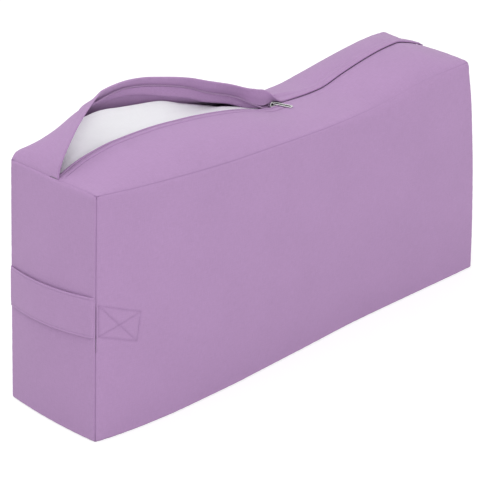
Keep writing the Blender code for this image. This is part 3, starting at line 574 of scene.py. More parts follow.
def puffed(box, lifted=False):
    """Where the filling pushes points of the plain box, laid out with the top's length at every height."""
    x, y, z = box[..., 0], box[..., 1], box[..., 2]
    along = np.clip(x / HALF_TOP, -1, 1)
    across = np.clip(y / HALF_WIDTH, -1, 1)
    up = np.clip(z / HEIGHT, 0, 1)
    middle = 4 * up * (1 - up)
    out = BASE_BOW * through(BASE_BOW_SHARES, along) * (1 - up)
    out += TOP_BOW * (1 - np.abs(along) ** 3) * up + MIDDLE_BULGE * through(BULGE_SHARES, along) * middle
    end = (END_BULGE * middle + BASE_END_BULGE * (1 - up)) * (1 - across**2)
    sag = SEAM_SAG * through(SEAM_SAG_SHARES, along)
    rise = -sag + (crown_at(along) + sag) * (1 - np.abs(across) ** 3)
    rise = rise + BACK_RISE * through(BACK_RISE_SHARES, along) * np.maximum(across, 0) ** 2
    if lifted:
        lift = LINER_LIFT * through(LINER_LIFT_SHARES, mouth_place(along))
        rise = rise + lift * through(LINER_LIFT_ACROSS_SHARES, across)
        near = LINER_NEAR_RISE * through(LINER_NEAR_SHARES, mouth_place(along))
        rise = rise + near * bell(across, *LINER_NEAR_SPOT)
    pushed = across * np.minimum((across / ZIP_STRAIGHT_SHARE) ** 2, 1)
    spread = mix(BASE_LENGTH, TOP_LENGTH, up) / TOP_LENGTH
    bowed = zip_bow(along) * (1 - np.abs(across)) * eased(up, *ZIP_BOW_LEVELS)
    return points_of(x * spread + along * end, y + pushed * out + bowed, np.maximum(z + up**2 * rise, 0))


def drifting(point, size):
    """A gentle unevenness that a stuffed cloth has, from -1 to 1."""
    x, y, z = (point[..., k] / size for k in range(3))
    first = np.sin(x * 1.3 + 2.1 * np.sin(z * 0.7 + y)) * np.cos(z * 1.1 - 0.6 * x + 1.7)
    second = np.sin(x * 2.3 - z * 1.9 + 0.8 + y * 2.1) * np.cos(z * 2.7 + y * 1.6 + x * 0.4)
    return 0.65 * first + 0.35 * second


def gathers(along):
    """Small uneven waves along a seam, from -1 to 1."""
    near, slow, fade = (along * 2 * math.pi / pitch for pitch in GATHER_PITCHES)
    waves = 0.7 * np.sin(near + 1.3 * np.sin(along * 47)) + 0.3 * np.sin(slow + 2.0)
    return waves * (0.45 + 0.55 * np.sin(fade + 0.7) ** 2)


def seam_gaps(point, low, high):
    """Distances from the nearest seam and the nearest corner of points on the faces of a box."""
    gaps = np.sort(np.minimum(point - low, high - point), axis=-1)
    return np.maximum(gaps[..., 1], 0), np.maximum(gaps[..., 2], 0)


def softness(point):
    """How much the stuffing rounds off the seams at points of the box, from 0 to 1."""
    x, y, z = (point[..., k] for k in range(3))
    soft = through(SOFT_SEAM_SHARES, x / HALF_TOP) * eased(z, *SOFT_LEVELS)
    kept = BACK_CRISPNESS + BACK_LEFT_CRISPNESS * eased(-x, *BACK_LEFT_CORNER)
    kept = kept - BACK_RIGHT_SOFTNESS * eased(x, *BACK_RIGHT_CORNER)
    return soft * (1 - kept * eased(y, *BACK_HALF))


def skin(sewing, x, y, z, depths=None, strength=1.0):
    """The outer face of a case over points of its box's faces, rounded into the seams, still unpuffed.

    It returns the points and their painted shade, from 1 to 0: a dark line along each crisp seam and a dark
    notch where the seams meet at the left end's corners.
    """
    depths = depths or {"side": 0.0, "end": 0.0, "base": 0.0, "top": 0.0}
    low = np.array((-HALF_TOP + depths["end"], -HALF_WIDTH + depths["side"], depths["base"]))
    high = np.array((HALF_TOP - depths["end"], HALF_WIDTH - depths["side"], HEIGHT - depths["top"]))
    point = np.clip(points_of(x, y, z), low, high)
    seam, corner = seam_gaps(point, low, high)
    soft = softness(point)
    radius = sewing.seam_radius + (sewing.soft_radius - sewing.seam_radius) * soft
    middle = np.clip(point, low + radius[..., None], high - radius[..., None])
    out = point - middle
    out /= np.maximum(np.linalg.norm(out, axis=-1, keepdims=True), 1e-9)
    at_top = eased(point[..., 2], *TOP_SEAM_LEVELS)
    crisp = (1 - SOFT_SEAM_LOSS * soft) * (1 - TOP_SEAM_LOSS * at_top)
    dips = crisp + CORNER_DIP_SHARE * bell(corner, 0, CORNER_DIP_WIDTH)
    groove = sewing.seam_depth * bell(seam, 0, sewing.seam_width) * dips
    ridge = sewing.ridge_height * bell(seam, *SEAM_RIDGE_SPOT) * crisp
    from_y, from_z = BACK_GATHER_FROM
    at_back = BACK_GATHER_SHARE * bell(point[..., 0], *BACK_GATHER_SPOT)
    at_back = 1 + at_back * (point[..., 1] > from_y) * (point[..., 2] > from_z)
    beside = np.exp(-seam / GATHER_FADE) * (1 - np.exp(-seam / GATHER_START))
    pucker = sewing.pucker_height * at_back * gathers(point.sum(axis=-1)) * beside
    drift = DRIFT_HEIGHT * drifting(point, DRIFT_SIZE) * eased(seam, *DRIFT_FADE)
    rise = radius + strength * (ridge - groove + pucker + drift)
    # Painted shade: a dark line in each crisp seam's groove, and a dark notch at the left end's corners
    at_end = eased(np.abs(point[..., 0]), *TOP_ENDS)
    line = crisp * (1 + at_top * (TOP_LINE_GAIN - END_LINE_LOSS * at_end))
    dark = bell(seam, 0, SEAM_LINE_WIDTH) * np.clip(line, 0, 1)
    notched = bell(seam, 0, NOTCH_WIDTH) * bell(corner, 0, NOTCH_LENGTH) * (point[..., 0] < 0)
    return middle + out * rise[..., None], np.maximum(dark, notched)


def seam_spaced(low, high, pitch, seams=(True, True)):
    """Places from low to high, close together beside the seams."""
    beside = np.array(SEAM_STEPS) / 1000
    start = low + beside if seams[0] else np.array((low,))
    end = high - beside[::-1] if seams[1] else np.array((high,))
    count = max(int(round((end[0] - start[-1]) / pitch)), 1)
    return np.concatenate((start, np.linspace(start[-1], end[0], count + 1)[1:-1], end))


def merged(*places, gap):
    """Sorted places without any that nearly repeat the one before."""
    places = np.sort(np.concatenate(places))
    kept = [places[0]]
    for place in places[1:-1]:
        if place - kept[-1] > gap and places[-1] - place > gap:
            kept.append(place)
    return np.array(kept + [places[-1]])


def outward(spots):
    """Unit normals of a grid of points."""
    turned = np.cross(np.gradient(spots, axis=0), np.gradient(spots, axis=1))
    return turned / np.maximum(np.linalg.norm(turned, axis=-1, keepdims=True), 1e-12)


def laid_out(spots):
    """Flat places, in metres, of a grid of points, measured along its rows and columns."""
    along = np.cumsum(np.linalg.norm(np.diff(spots, axis=0, prepend=spots[:1]), axis=-1), axis=0)
    across = np.cumsum(np.linalg.norm(np.diff(spots, axis=1, prepend=spots[:, :1]), axis=-1), axis=1)
    return points_of(along, across)


def finished(name, mesh, material, sharp=50):
    """An object from a mesh whose faces point outwards."""
    mesh.materials.append(material)
    mesh.shade_smooth()
    mesh.set_sharp_from_angle(angle=math.radians(sharp))
    obj = bpy.data.objects.new(name, mesh)
    bpy.context.scene.collection.objects.link(obj)
    return obj


def face_outwards(mesh):
    """Turns a closed mesh the right way out."""
    mesh.calc_loop_triangles()
    corners = np.empty(len(mesh.vertices) * 3)
    mesh.vertices.foreach_get("co", corners)
    triangles = np.empty(len(mesh.loop_triangles) * 3, np.int32)
    mesh.loop_triangles.foreach_get("vertices", triangles)
    a, b, c = corners.reshape(-1, 3)[triangles.reshape(-1, 3)].transpose(1, 0, 2)
    if np.einsum("ij,ij->", a, np.cross(b, c)) < 0:
        mesh.flip_normals()


def place_grid(mesh, columns, rows, layers, flat, seam):
    """Moves the corners of a flat grid mesh to their places, with its flat pattern as the UV map."""
    plain = np.empty(len(mesh.vertices) * 3)
    mesh.vertices.foreach_get("co", plain)
    plain = plain.reshape(-1, 3)
    column = np.rint((plain[:, 0] + 0.5) * (columns - 1)).astype(int)
    row = np.rint((plain[:, 1] + 0.5) * (rows - 1)).astype(int)
    layer = (plain[:, 2] < -0.5).astype(int)
    mesh.vertices.foreach_set("co", np.stack(layers)[layer, column, row].ravel())
    corner = np.empty(len(mesh.loops), np.int32)
    mesh.loops.foreach_get("vertex_index", corner)
    mesh.uv_layers.new(name="cloth").uv.foreach_set("vector", flat[column, row][corner].ravel())
    # The seam attribute carries the painted shade that the cloth material darkens by
    mesh.attributes.new("seam", "FLOAT", "POINT").data.foreach_set("value", seam[column, row])


def flat_grid(columns, rows):
    """A flat bmesh grid that place_grid can move."""
    bm = bmesh.new()
    bmesh.ops.create_grid(bm, x_segments=columns - 1, y_segments=rows - 1, size=0.5)
    return bm


def mesh_of(name, bm):
    """The mesh of a finished bmesh, which is freed."""
    mesh = bpy.data.meshes.new(name)
    bm.to_mesh(mesh)
    bm.free()
    return mesh


def turned_out(name, bm):
    """The mesh of a finished bmesh with its faces turned outwards."""
    bm.normal_update()
    bmesh.ops.recalc_face_normals(bm, faces=bm.faces[:])
    return mesh_of(name, bm)


def shell(name, outer, inner, material, seam=None):
    """A closed sheet between two grids of points."""
    columns, rows = outer.shape[:2]
    bm = flat_grid(columns, rows)
    raised = bmesh.ops.extrude_face_region(bm, geom=bm.faces[:], use_keep_orig=True)
    under = [corner for corner in raised["geom"] if isinstance(corner, bmesh.types.BMVert)]
    bmesh.ops.translate(bm, vec=(0, 0, -1), verts=under)
    bmesh.ops.recalc_face_normals(bm, faces=bm.faces[:])
    mesh = mesh_of(name, bm)
    seam = np.zeros((columns, rows)) if seam is None else seam
    place_grid(mesh, columns, rows, (outer, inner), laid_out(outer), seam)
    face_outwards(mesh)
    return finished(name, mesh, material)


def sheet_of(name, outer, thickness, material, seam=None, sign=1):
    """A sheet of cloth behind a grid of points."""
    return shell(name, outer, outer - sign * thickness * outward(outer), material, seam)


def wrapped(name, spots, material, ring=False):
    """A tube from a grid of points whose rows go once round it, closed at its ends or into a ring."""
    columns, rows = spots.shape[:2]
    bm = flat_grid(columns, rows)
    mesh = bpy.data.meshes.new(name)
    bm.to_mesh(mesh)
    place_grid(mesh, columns, rows, (spots, spots), laid_out(spots), np.zeros((columns, rows)))
    bm.clear()
    bm.from_mesh(mesh)
    bmesh.ops.remove_doubles(bm, verts=bm.verts[:], dist=1e-7)
    if not ring:
        edges = [edge for edge in bm.edges if edge.is_boundary]
        bmesh.ops.holes_fill(bm, edges=edges, sides=0)
    bm.normal_update()
    bmesh.ops.recalc_face_normals(bm, faces=bm.faces[:])
    bm.to_mesh(mesh)
    bm.free()
    face_outwards(mesh)
    return finished(name, mesh, material)


def swept(path, section, ring=False, up=(0.0, 0.0, 1.0)):
    """A grid of points: a section of (aside, above) offsets carried along a path."""
    heading = np.roll(path, -1, axis=0) - np.roll(path, 1, axis=0) if ring else np.gradient(path, axis=0)
    heading = heading / np.linalg.norm(heading, axis=-1, keepdims=True)
    aside = np.cross(heading, np.array(up))
    aside /= np.linalg.norm(aside, axis=-1, keepdims=True)
    above = np.cross(aside, heading)
    section = np.concatenate((section, section[:1]))
    spots = path[:, None] + aside[:, None] * section[None, :, :1] + above[:, None] * section[None, :, 1:]
    return np.concatenate((spots, spots[:1])) if ring else spots


def rounded_section(wide, high, radius, steps=3):
    """The corners of a rounded rectangle."""
    points = []
    for k, (a, b) in enumerate(((1, 1), (-1, 1), (-1, -1), (1, -1))):
        for step in range(steps + 1):
            turn = math.pi / 2 * (k + step / steps)
            points.append((
                a * (wide / 2 - radius) + radius * math.cos(turn),
                b * (high / 2 - radius) + radius * math.sin(turn),
            ))
    return np.array(points)


class Nodes:
    """Short calls that add and link the shader nodes of a material or a world."""

    def __init__(self, owner):
        self.owner = owner
        owner.use_nodes = True
        self.tree = owner.node_tree

    def add(self, kind, links=None, output=0, **settings):
        """An output of a new node whose inputs are linked or set."""
        node = self.tree.nodes.new(kind)
        for key, value in settings.items():
            setattr(node, key, value)
        self.fill(node, links or {})
        return node.outputs[output]

    def fill(self, node, links):
        for socket, value in links.items():
            if isinstance(value, bpy.types.NodeSocket):
                self.tree.links.new(value, node.inputs[socket])
            else:
                node.inputs[socket].default_value = value

    def math(self, operation, first, second=0.0, third=0.0):
        return self.add("ShaderNodeMath", {0: first, 1: second, 2: third}, operation=operation)

    def noise(self, where, scale, detail=2.0, roughness=0.5):
        links = {"Vector": where, "Scale": scale, "Detail": detail, "Roughness": roughness}
        return self.add("ShaderNodeTexNoise", links, normalize=True)

    def stretched_noise(self, where, scale, detail=2.0):
        return self.noise(self.add("ShaderNodeMapping", {"Vector": where, "Scale": scale}), 1.0, detail)

    def cloth(self):
        """The flat place in the cloth, whole and as its two measures."""
        flat = self.add("ShaderNodeUVMap", uv_map="cloth")
        split = self.tree.nodes.new("ShaderNodeSeparateXYZ")
        self.tree.links.new(flat, split.inputs[0])
        return flat, split.outputs[0], split.outputs[1]

    def tones(self, factor, ends, colour, shades):
        """A ramp between a darker and a lighter shade of a colour."""
        node = self.tree.nodes.new("ShaderNodeValToRGB")
        for element, place, shade in zip(node.color_ramp.elements, ends, shades):
            element.position = place
            element.color = (*shaded(colour, shade), 1.0)
        self.tree.links.new(factor, node.inputs[0])
        return node.outputs[0]

    def finish(self, colour, height, strength, distance, **sockets):
        """The material, with a bump of some strength and the shader's other values."""
        bump = self.add("ShaderNodeBump", {"Height": height, "Strength": strength, "Distance": distance})
        self.fill(self.tree.nodes["Principled BSDF"], {"Base Color": colour, "Normal": bump, **sockets})
        return self.owner


def shaded(colour, factor):
    return tuple(min(channel * factor, 1.0) for channel in colour)


def material_nodes(name):
    return Nodes(bpy.data.materials.new(name))


def woven(name, colour, pitch, seam_shade, unevenness):
    """Plain-woven cloth: crossing threads, uneven yarn, and painted shade where the seam attribute marks
    seams, creases, stitching and the lap's shadow.
    """
    n = material_nodes(name)
    flat, along, across = n.cloth()
    turns = math.pi / pitch
    warp = n.math("SINE", n.math("MULTIPLY", along, turns))
    weft = n.math("SINE", n.math("MULTIPLY", across, turns))
    weave = n.math("MULTIPLY", warp, weft)
    pairs = []
    for fine, coarse, detail in CLOTH_YARNS:
        lengthways = n.stretched_noise(flat, (coarse, fine, 1.0), detail)
        crossways = n.stretched_noise(flat, (fine, coarse, 1.0), detail)
        pairs.append(n.math("MULTIPLY", n.math("ADD", lengthways, crossways), 0.5))
    yarn, slub = pairs
    soft = n.math("MULTIPLY", n.noise(flat, CLOTH_PATCHES, 3.0), CLOTH_PATCH_SHARE)
    broad = n.math("MULTIPLY_ADD", slub, CLOTH_SLUB_SHARE, soft)
    factor = n.math("MULTIPLY_ADD", yarn, CLOTH_YARN_SHARE, broad)
    cloth = n.tones(factor, CLOTH_TONES, colour, (1 - 2 * unevenness, 1 + 2 * unevenness))
    # Painted shade, read from the mesh's seam attribute
    seam = n.add("ShaderNodeAttribute", output="Fac", attribute_name="seam")
    strength = n.math("MULTIPLY", seam, 1 - seam_shade)
    links = {0: strength, 6: cloth, 7: PAINTED_SEAM_SHADE}
    dark = n.add("ShaderNodeMix", links, 2, data_type="RGBA", blend_type="MULTIPLY")
    threads, hairs = CLOTH_BUMP_SHARES
    height = n.math("ADD", n.math("MULTIPLY", weave, threads), n.math("MULTIPLY", yarn, hairs))
    return n.finish(dark, height, *CLOTH_BUMP, **CLOTH_GLOSS)


def taped(name, colour):
    """Zip tape: fine slanting twill."""
    n = material_nodes(name)
    flat, along, across = n.cloth()
    slant = n.math("ADD", along, n.math("ABSOLUTE", n.math("SUBTRACT", across, TAPE_MIDDLE)))
    twill = n.math("SINE", n.math("MULTIPLY", slant, 2 * math.pi / TWILL_PITCH))
    yarn = n.stretched_noise(flat, TAPE_YARN)
    tone = n.tones(yarn, NOISE_TONES, colour, TAPE_SHADES)
    return n.finish(tone, n.math("ADD", twill, yarn), *TAPE_BUMP, **TAPE_GLOSS)


def moulded(name, colour):
    """Dyed nylon with a soft gloss."""
    n = material_nodes(name)
    grain = n.noise(n.add("ShaderNodeTexCoord", output="Object"), NYLON_GRAIN)
    return n.finish(n.tones(grain, NOISE_TONES, colour, NYLON_SHADES), grain, *NYLON_BUMP, **NYLON_GLOSS)


def plated(name, colour):
    """Satin nickel with fine scratches and slightly duller patches."""
    n = material_nodes(name)
    where = n.add("ShaderNodeTexCoord", output="Object")
    patches = n.noise(where, NICKEL_PATCHES, 3.0)
    scratches = n.stretched_noise(where, NICKEL_SCRATCHES, 1.0)
    tone = n.tones(patches, NOISE_TONES, colour, NICKEL_SHADES)
    dull = n.math("MULTIPLY_ADD", patches, *NICKEL_DULLNESS)
    return n.finish(tone, scratches, *NICKEL_BUMP, Roughness=dull, Metallic=1.0)


def fluffy(name, colour, scale, strength, holes=0.0):
    """Soft filling: tangled fibres, or the open cells of foam."""
    n = material_nodes(name)
    where = n.add("ShaderNodeTexCoord", output="Object")
    tangle = n.noise(where, scale, *FILLING_TANGLE)
    cells = n.add("ShaderNodeTexVoronoi", {"Vector": where, "Scale": scale * FILLING_CELLS})
    height = n.math("ADD", tangle, n.math("MULTIPLY", cells, holes))
    tone = n.tones(tangle, NOISE_TONES, colour, FILLING_SHADES)
    return n.finish(tone, height, strength, FILLING_BUMP_DEPTH, **FILLING_GLOSS)


def made_once(name, make, *values):
    """The material of that name, made the first time that it is asked for."""
    found = bpy.data.materials.get(name)
    return found if found else make(name, *values)


def lilac_cloth():
    finish = bpy.context.scene.bolster_finish
    settings = (tuple(finish.cloth_colour), finish.thread_pitch, *LILAC_WEAVE)
    return made_once("lilac plain weave", woven, *settings)


def white_cloth():
    finish = bpy.context.scene.bolster_finish
    settings = (tuple(finish.cotton_colour), finish.thread_pitch, *COTTON_WEAVE)
    return made_once("white cotton", woven, *settings)


def sewing_thread():
    return made_once("lilac thread", moulded, tuple(bpy.context.scene.bolster_finish.thread_colour))


def nickel():
    return made_once("satin nickel", plated, tuple(bpy.context.scene.bolster_finish.metal_colour))


# Nickel painted dark to stand for shade under the slider and in the pull's slot
def shade_painted_nickel():
    colour = tuple(bpy.context.scene.bolster_finish.metal_colour)
    return made_once("darkened nickel", plated, shaded(colour, DARK_NICKEL_SHADE))


def stitches(name, runs, material):
    """Sewing thread: one small rounded stitch after another along runs of (points, outward directions)."""
    sewing = bpy.context.scene.bolster_sewing
    bm = bmesh.new()
    for points, outs in runs:
        lengths = np.concatenate(((0,), np.cumsum(np.linalg.norm(np.diff(points, axis=0), axis=-1))))
        count = max(int(lengths[-1] / sewing.stitch_length), 1)
        for k in range(count):
            ends = [(k + part) / count * lengths[-1] for part in STITCH_PART]
            low, high, out = (
                np.array([np.interp(end, lengths, values[:, a]) for a in range(3)])
                for end, values in ((ends[0], points), (ends[1], points), (ends[0], outs))
            )
            heading = Vector(high - low)
            aside = heading.cross(Vector(out)).normalized()
            above = aside.cross(heading).normalized()
            across = aside * sewing.stitch_width / 2
            upward = above * sewing.stitch_width * STITCH_HEIGHT_SHARE
            turn = Matrix((heading / 2, across, upward))
            spot = Matrix.Translation((low + high) / 2) @ turn.transposed().to_4x4()
            bmesh.ops.create_icosphere(bm, subdivisions=1, radius=1.0, matrix=spot)
    return finished(name, turned_out(name, bm), material, STITCH_SHARP)


def cross_lines():
    """The straight lines of stitching of the crossed box, as x and z of the plain box."""
    corners = np.array(CROSS_BOX)
    return [(corners[a], corners[b]) for a, b in CROSS_ORDER]


def from_line(x, z, low, high):
    """Distance of points from a straight line of stitching."""
    along = high - low
    part = np.clip(((x - low[0]) * along[0] + (z - low[1]) * along[1]) / (along @ along), 0, 1)
    return np.hypot(x - low[0] - part * along[0], z - low[1] - part * along[1])


def broad_surface(sewing, side, x, z):
    """The outer face of a broad panel, quilted by the straps' stitching, and its seam shading."""
    spots, seam = skin(sewing, x, side * HALF_WIDTH, z)
    dent = np.zeros(np.broadcast(x, z).shape)
    for low, high in cross_lines():
        dent = np.maximum(dent, bell(from_line(x, z, low, high), 0, BOX_DENT_WIDTH))
    pad = eased(-x, *TAIL_COLUMNS) * eased(z, *TAIL_LOW_ROWS) * (1 - eased(z, *TAIL_HIGH_ROWS))
    spots[..., 1] += side * (TAIL_RISE * pad - BOX_DENT * dent)
    return puffed(spots), np.maximum(seam, BOX_LINE_SHADE * dent)


def stands_for(piece, slot, *nodes):
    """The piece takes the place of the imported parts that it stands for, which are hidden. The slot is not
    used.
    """
    if nodes:
        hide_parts(*nodes)
    return piece


def ride_as(piece, body, slot, *nodes):
    """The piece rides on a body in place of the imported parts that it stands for."""
    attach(piece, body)
    return stands_for(piece, slot, *nodes)


def panel(name, spots, seam, sign, node):
    """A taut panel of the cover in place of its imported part."""
    piece = sheet_of(name, spots, COVER_THICKNESS, lilac_cloth(), seam, sign)
    ride_as(piece, "cover", "lilac_cloth", node)


class BOLSTER_OT_broad_panels(bpy.types.Operator):
    """Sew the two broad panels, with the crossed boxes of stitching that hold the straps."""

    bl_idname = "bolster.broad_panels"
    bl_label = "Broad panels"

    def execute(self, context):
        sewing = context.scene.bolster_sewing
        fine = np.arange(*BOX_COLUMNS, BOX_PITCH)
        columns = merged(seam_spaced(-HALF_TOP, HALF_TOP, PANEL_PITCH), -fine, gap=PANEL_ROW_GAP)
        rows = seam_spaced(0.0, HEIGHT, PANEL_ROW_PITCH)
        rows = merged(rows, np.arange(*BOX_ROWS, BOX_PITCH), gap=PANEL_ROW_GAP)
        x, z = np.meshgrid(columns, rows, indexing="ij")
        part = np.linspace(0, 1, BOX_LINE_STEPS)
        for side, name in ((-1, "front"), (1, "back")):
            spots, seam = broad_surface(sewing, side, x, z)
            panel("cover_" + name, spots, seam, -side, "cover_" + name + "_panel")
            runs = []
            for low, high in cross_lines():
                spots, _ = broad_surface(sewing, side, *mix(low[:, None], high[:, None], part))
                outs = np.tile((0.0, float(side), 0.0), (BOX_LINE_STEPS, 1))
                runs.append((spots + (0, side * THREAD_LIFT, 0), outs))
            thread = stitches("strap_stitching_" + name, runs, sewing_thread())
            ride_as(thread, "cover", "lilac_cloth")
        return {"FINISHED"}


class BOLSTER_OT_end_panels(bpy.types.Operator):
    """Sew the two short end panels and the base strip."""

    bl_idname = "bolster.end_panels"
    bl_label = "Ends and base"

    def execute(self, context):
        sewing = context.scene.bolster_sewing
        across = seam_spaced(-HALF_WIDTH, HALF_WIDTH, PANEL_PITCH)
        heights = seam_spaced(0.0, HEIGHT, PANEL_PITCH)
        y, z = np.meshgrid(across, heights, indexing="ij")
        for side, name in ((-1, "left"), (1, "right")):
            spots, seam = skin(sewing, side * HALF_TOP, y, z)
            panel("cover_end_" + name, puffed(spots), seam, side, "cover_" + name + "_end")
        columns = seam_spaced(-HALF_TOP, HALF_TOP, BASE_PITCH)
        across = seam_spaced(-HALF_WIDTH, HALF_WIDTH, BASE_PITCH)
        x, y = np.meshgrid(columns, across, indexing="ij")
        spots, seam = skin(sewing, x, y, 0.0)
        panel("cover_base", puffed(spots), seam, -1, "cover_base_strip")
        return {"FINISHED"}


def fold_round(gap, thickness):
    """How much thinner, on each face, a folded edge is at a distance from its tip."""
    half = thickness / 2
    part = np.clip(1 - gap / half, 0, 1)
    return half * (1 - np.sqrt(1 - part**2))


class BOLSTER_OT_top_front(bpy.types.Operator):
    """Sew the front half of the top strip, with its folded and topstitched edge beside the zip."""

    bl_idname = "bolster.top_front"
    bl_label = "Top, front half"

    def execute(self, context):
        sewing = context.scene.bolster_sewing
        columns = seam_spaced(-HALF_TOP, HALF_TOP, TOP_PITCH)
        hem = FRONT_FOLD_SETBACK + np.array(HEM_STEPS) / 1000
        rows = seam_spaced(-HALF_WIDTH, HEM_ROWS_START, TOP_ROW_PITCH, (True, False))
        x, y = np.meshgrid(columns, merged(rows, -hem, gap=HEM_ROW_GAP), indexing="ij")
        spots, seam = skin(sewing, x, y, HEIGHT)
        gap = -y - FRONT_FOLD_SETBACK
        closed = eased(x, *HEM_CLOSED)
        near_end = eased(HALF_TOP - np.abs(x), *HEM_ENDS) * (1 - HEM_CLOSED_LOSS * closed)
        raised = near_end * (1 - eased(x, *HEM_RAISED))
        # Painted shadow of the lap on the hem where the zip is closed, darkest a little past the slider
        shown, behind = HEM_UNDER_SHADES
        under = bell(gap, *HEM_UNDER_SPOT) * closed * (shown + behind * bell(x, *HEM_UNDER_ALONG_SPOT))
        creased = bell(gap, *HEM_CREASE_SPOT) * near_end
        stitched = bell(gap, *HEM_STITCH_SPOT) * near_end
        rolled = HEM_ROLL * bell(gap, *HEM_ROLL_SPOT) * near_end
        puff = HEM_PUFF * eased(gap, *HEM_PUFF_START) * (1 - eased(gap, *HEM_PUFF_END)) * raised
        after = HEM_AFTER * bell(gap, *HEM_AFTER_SPOT) * raised
        thickness = COVER_THICKNESS + HEM_EXTRA_THICKNESS * (1 - eased(gap, *HEM_THINNING))
        thin = fold_round(gap, thickness)
        inner = puffed(spots - (0, 0, 1) * (thickness - thin)[..., None])
        dented = PULL_DENT * bell(x, *PULL_DENT_SPOT) * bell(y, *PULL_DENT_ACROSS_SPOT)
        pulled_in = HEM_CREASE * creased + HEM_STITCH_DENT * stitched + thin + dented
        spots[..., 2] += rolled + puff + after - pulled_in
        outer = puffed(spots)
        inner = np.where((seam > SEAM_BORDER)[..., None], outer - COVER_THICKNESS * outward(outer), inner)
        # Painted shade in the hem's crease, along its stitching, in the seams and in the lap's shadow
        shade = np.maximum(HEM_CREASE_SHADE * creased, HEM_STITCH_SHADE * stitched)
        shade = np.maximum(np.maximum(seam, under), shade)
        piece = shell("cover_top_front_half", outer, inner, lilac_cloth(), shade)
        ride_as(piece, "cover", "lilac_cloth", "cover_top_front")
        start, end = HEM_THREAD_ENDS
        run_x = np.linspace(-ZIP_HALF_LENGTH + start, SLIDER_X + end, HEM_THREAD_STEPS)
        run, _ = skin(sewing, run_x, -FRONT_FOLD_SETBACK - HEM_STITCHING, HEIGHT)
        run[..., 2] += -HEM_THREAD_DROP
        outs = np.tile((0.0, 0.0, 1.0), (HEM_THREAD_STEPS, 1))
        thread = stitches("zip_stitching_front", [(puffed(run), outs)], sewing_thread())
        ride_as(thread, "cover", "lilac_cloth")
        return {"FINISHED"}


def raised_by(along):
    """How far the raised half's lap root and fold are moved out and up."""
    place = mouth_place(along)
    table = np.array(FLAP_SHARES)
    return [FLAP_RISE * through(table[:, (0, k)], place) for k in (1, 2, 3, 4)]


def turned_up(along, part):
    """How far, as (y, z), the cloth between the back seam and the lap's root is raised."""
    root_out, root_up, _, _ = raised_by(along)
    part, place = np.clip(part, 1e-9, 1), mouth_place(along)
    late, lifted = part ** through(FLAP_CURVE_SHARES, place), part ** through(FLAP_LIFT_SHARES, place)
    tuck = LAP_TUCK * through(LAP_TUCK_SHARES, place) * bell(part, *LAP_TUCK_SPOT)
    tuck = tuck * eased(1 - part, *LAP_TUCK_END)
    return points_of(root_out * late, root_up * lifted - tuck)


def flap_spot(along, part):
    """Points, as (y, z), of the back half of the top.

    part is 0 at the back seam, 1 at the lap's root and 2 at its fold.
    """
    along, part = np.broadcast_arrays(along, part)
    root_out, root_up, fold_out, fold_up = raised_by(along)
    crown = crown_at(along)
    bowed = zip_bow(along) * (1 - LAP_ROOT_SETBACK / HALF_WIDTH)
    root = points_of(LAP_ROOT_SETBACK + root_out + bowed, HEIGHT + crown + root_up)
    fold = points_of(fold_out - LAP_OVERLAP + bowed, HEIGHT + crown + fold_up)
    y = mix(HALF_WIDTH, LAP_ROOT_SETBACK, np.minimum(part, 1))
    closed = puffed(points_of(along * HALF_TOP, y, HEIGHT))
    lower = closed[..., 1:] + turned_up(along, part)
    return np.where(part[..., None] > 1, mix(root, fold, (part - 1)[..., None]), lower)


def flap_frame(along, part):
    """Points of the flap with their heading towards the zip and their outward direction, as (y, z)."""
    along, part = np.broadcast_arrays(along, part)
    ahead = np.where(part <= 1, np.minimum(part + FLAP_HEADING_STEP, 1.0), 2.0)
    behind = np.where(part <= 1, np.maximum(part - FLAP_HEADING_STEP, 0.0), 1.0)
    heading = flap_spot(along, ahead) - flap_spot(along, behind)
    heading /= np.linalg.norm(heading, axis=-1, keepdims=True)
    return flap_spot(along, part), heading, points_of(heading[..., 1], -heading[..., 0])


def zip_spot(side, x, reach, depth):
    """Points of the front (-1) or back (+1) half of the zip.

    reach is their distance from the zip's middle, and depth how far they are below the cloth's outer face.
    """
    x, reach, depth = (np.array(value, float) for value in np.broadcast_arrays(x, reach, depth))
    start = SLIDER_X + SLIDER_LENGTH * SLIDER_LEVEL_SHARE
    reach = reach + MOUTH_SPREAD * np.clip((start - x) / (2 * SLIDER_LENGTH * SLIDER_LEVEL_SHARE), 0, 1)
    if side < 0:
        return puffed(points_of(x, -reach, HEIGHT - depth))
    along = x / HALF_TOP
    beyond = LAP_ROOT_SETBACK - reach
    root, heading, out = flap_frame(along, 1.0)
    width = np.linalg.norm(root - flap_spot(along, 0.0), axis=-1)
    spot, _, under = flap_frame(along, 1 + np.minimum(beyond, 0) / width)
    inside = (beyond >= 0)[..., None]
    yz = np.where(inside, root + heading * beyond[..., None], spot)
    yz = yz - np.where(inside, out, under) * depth[..., None]
    return points_of(x, yz[..., 0], yz[..., 1])


def bend_with_flap(piece, slot, node):
    """The piece's place is baked into its mesh, and it takes the place of the imported part that it stands
    for.
    """
    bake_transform(piece)
    return stands_for(piece, slot, node)


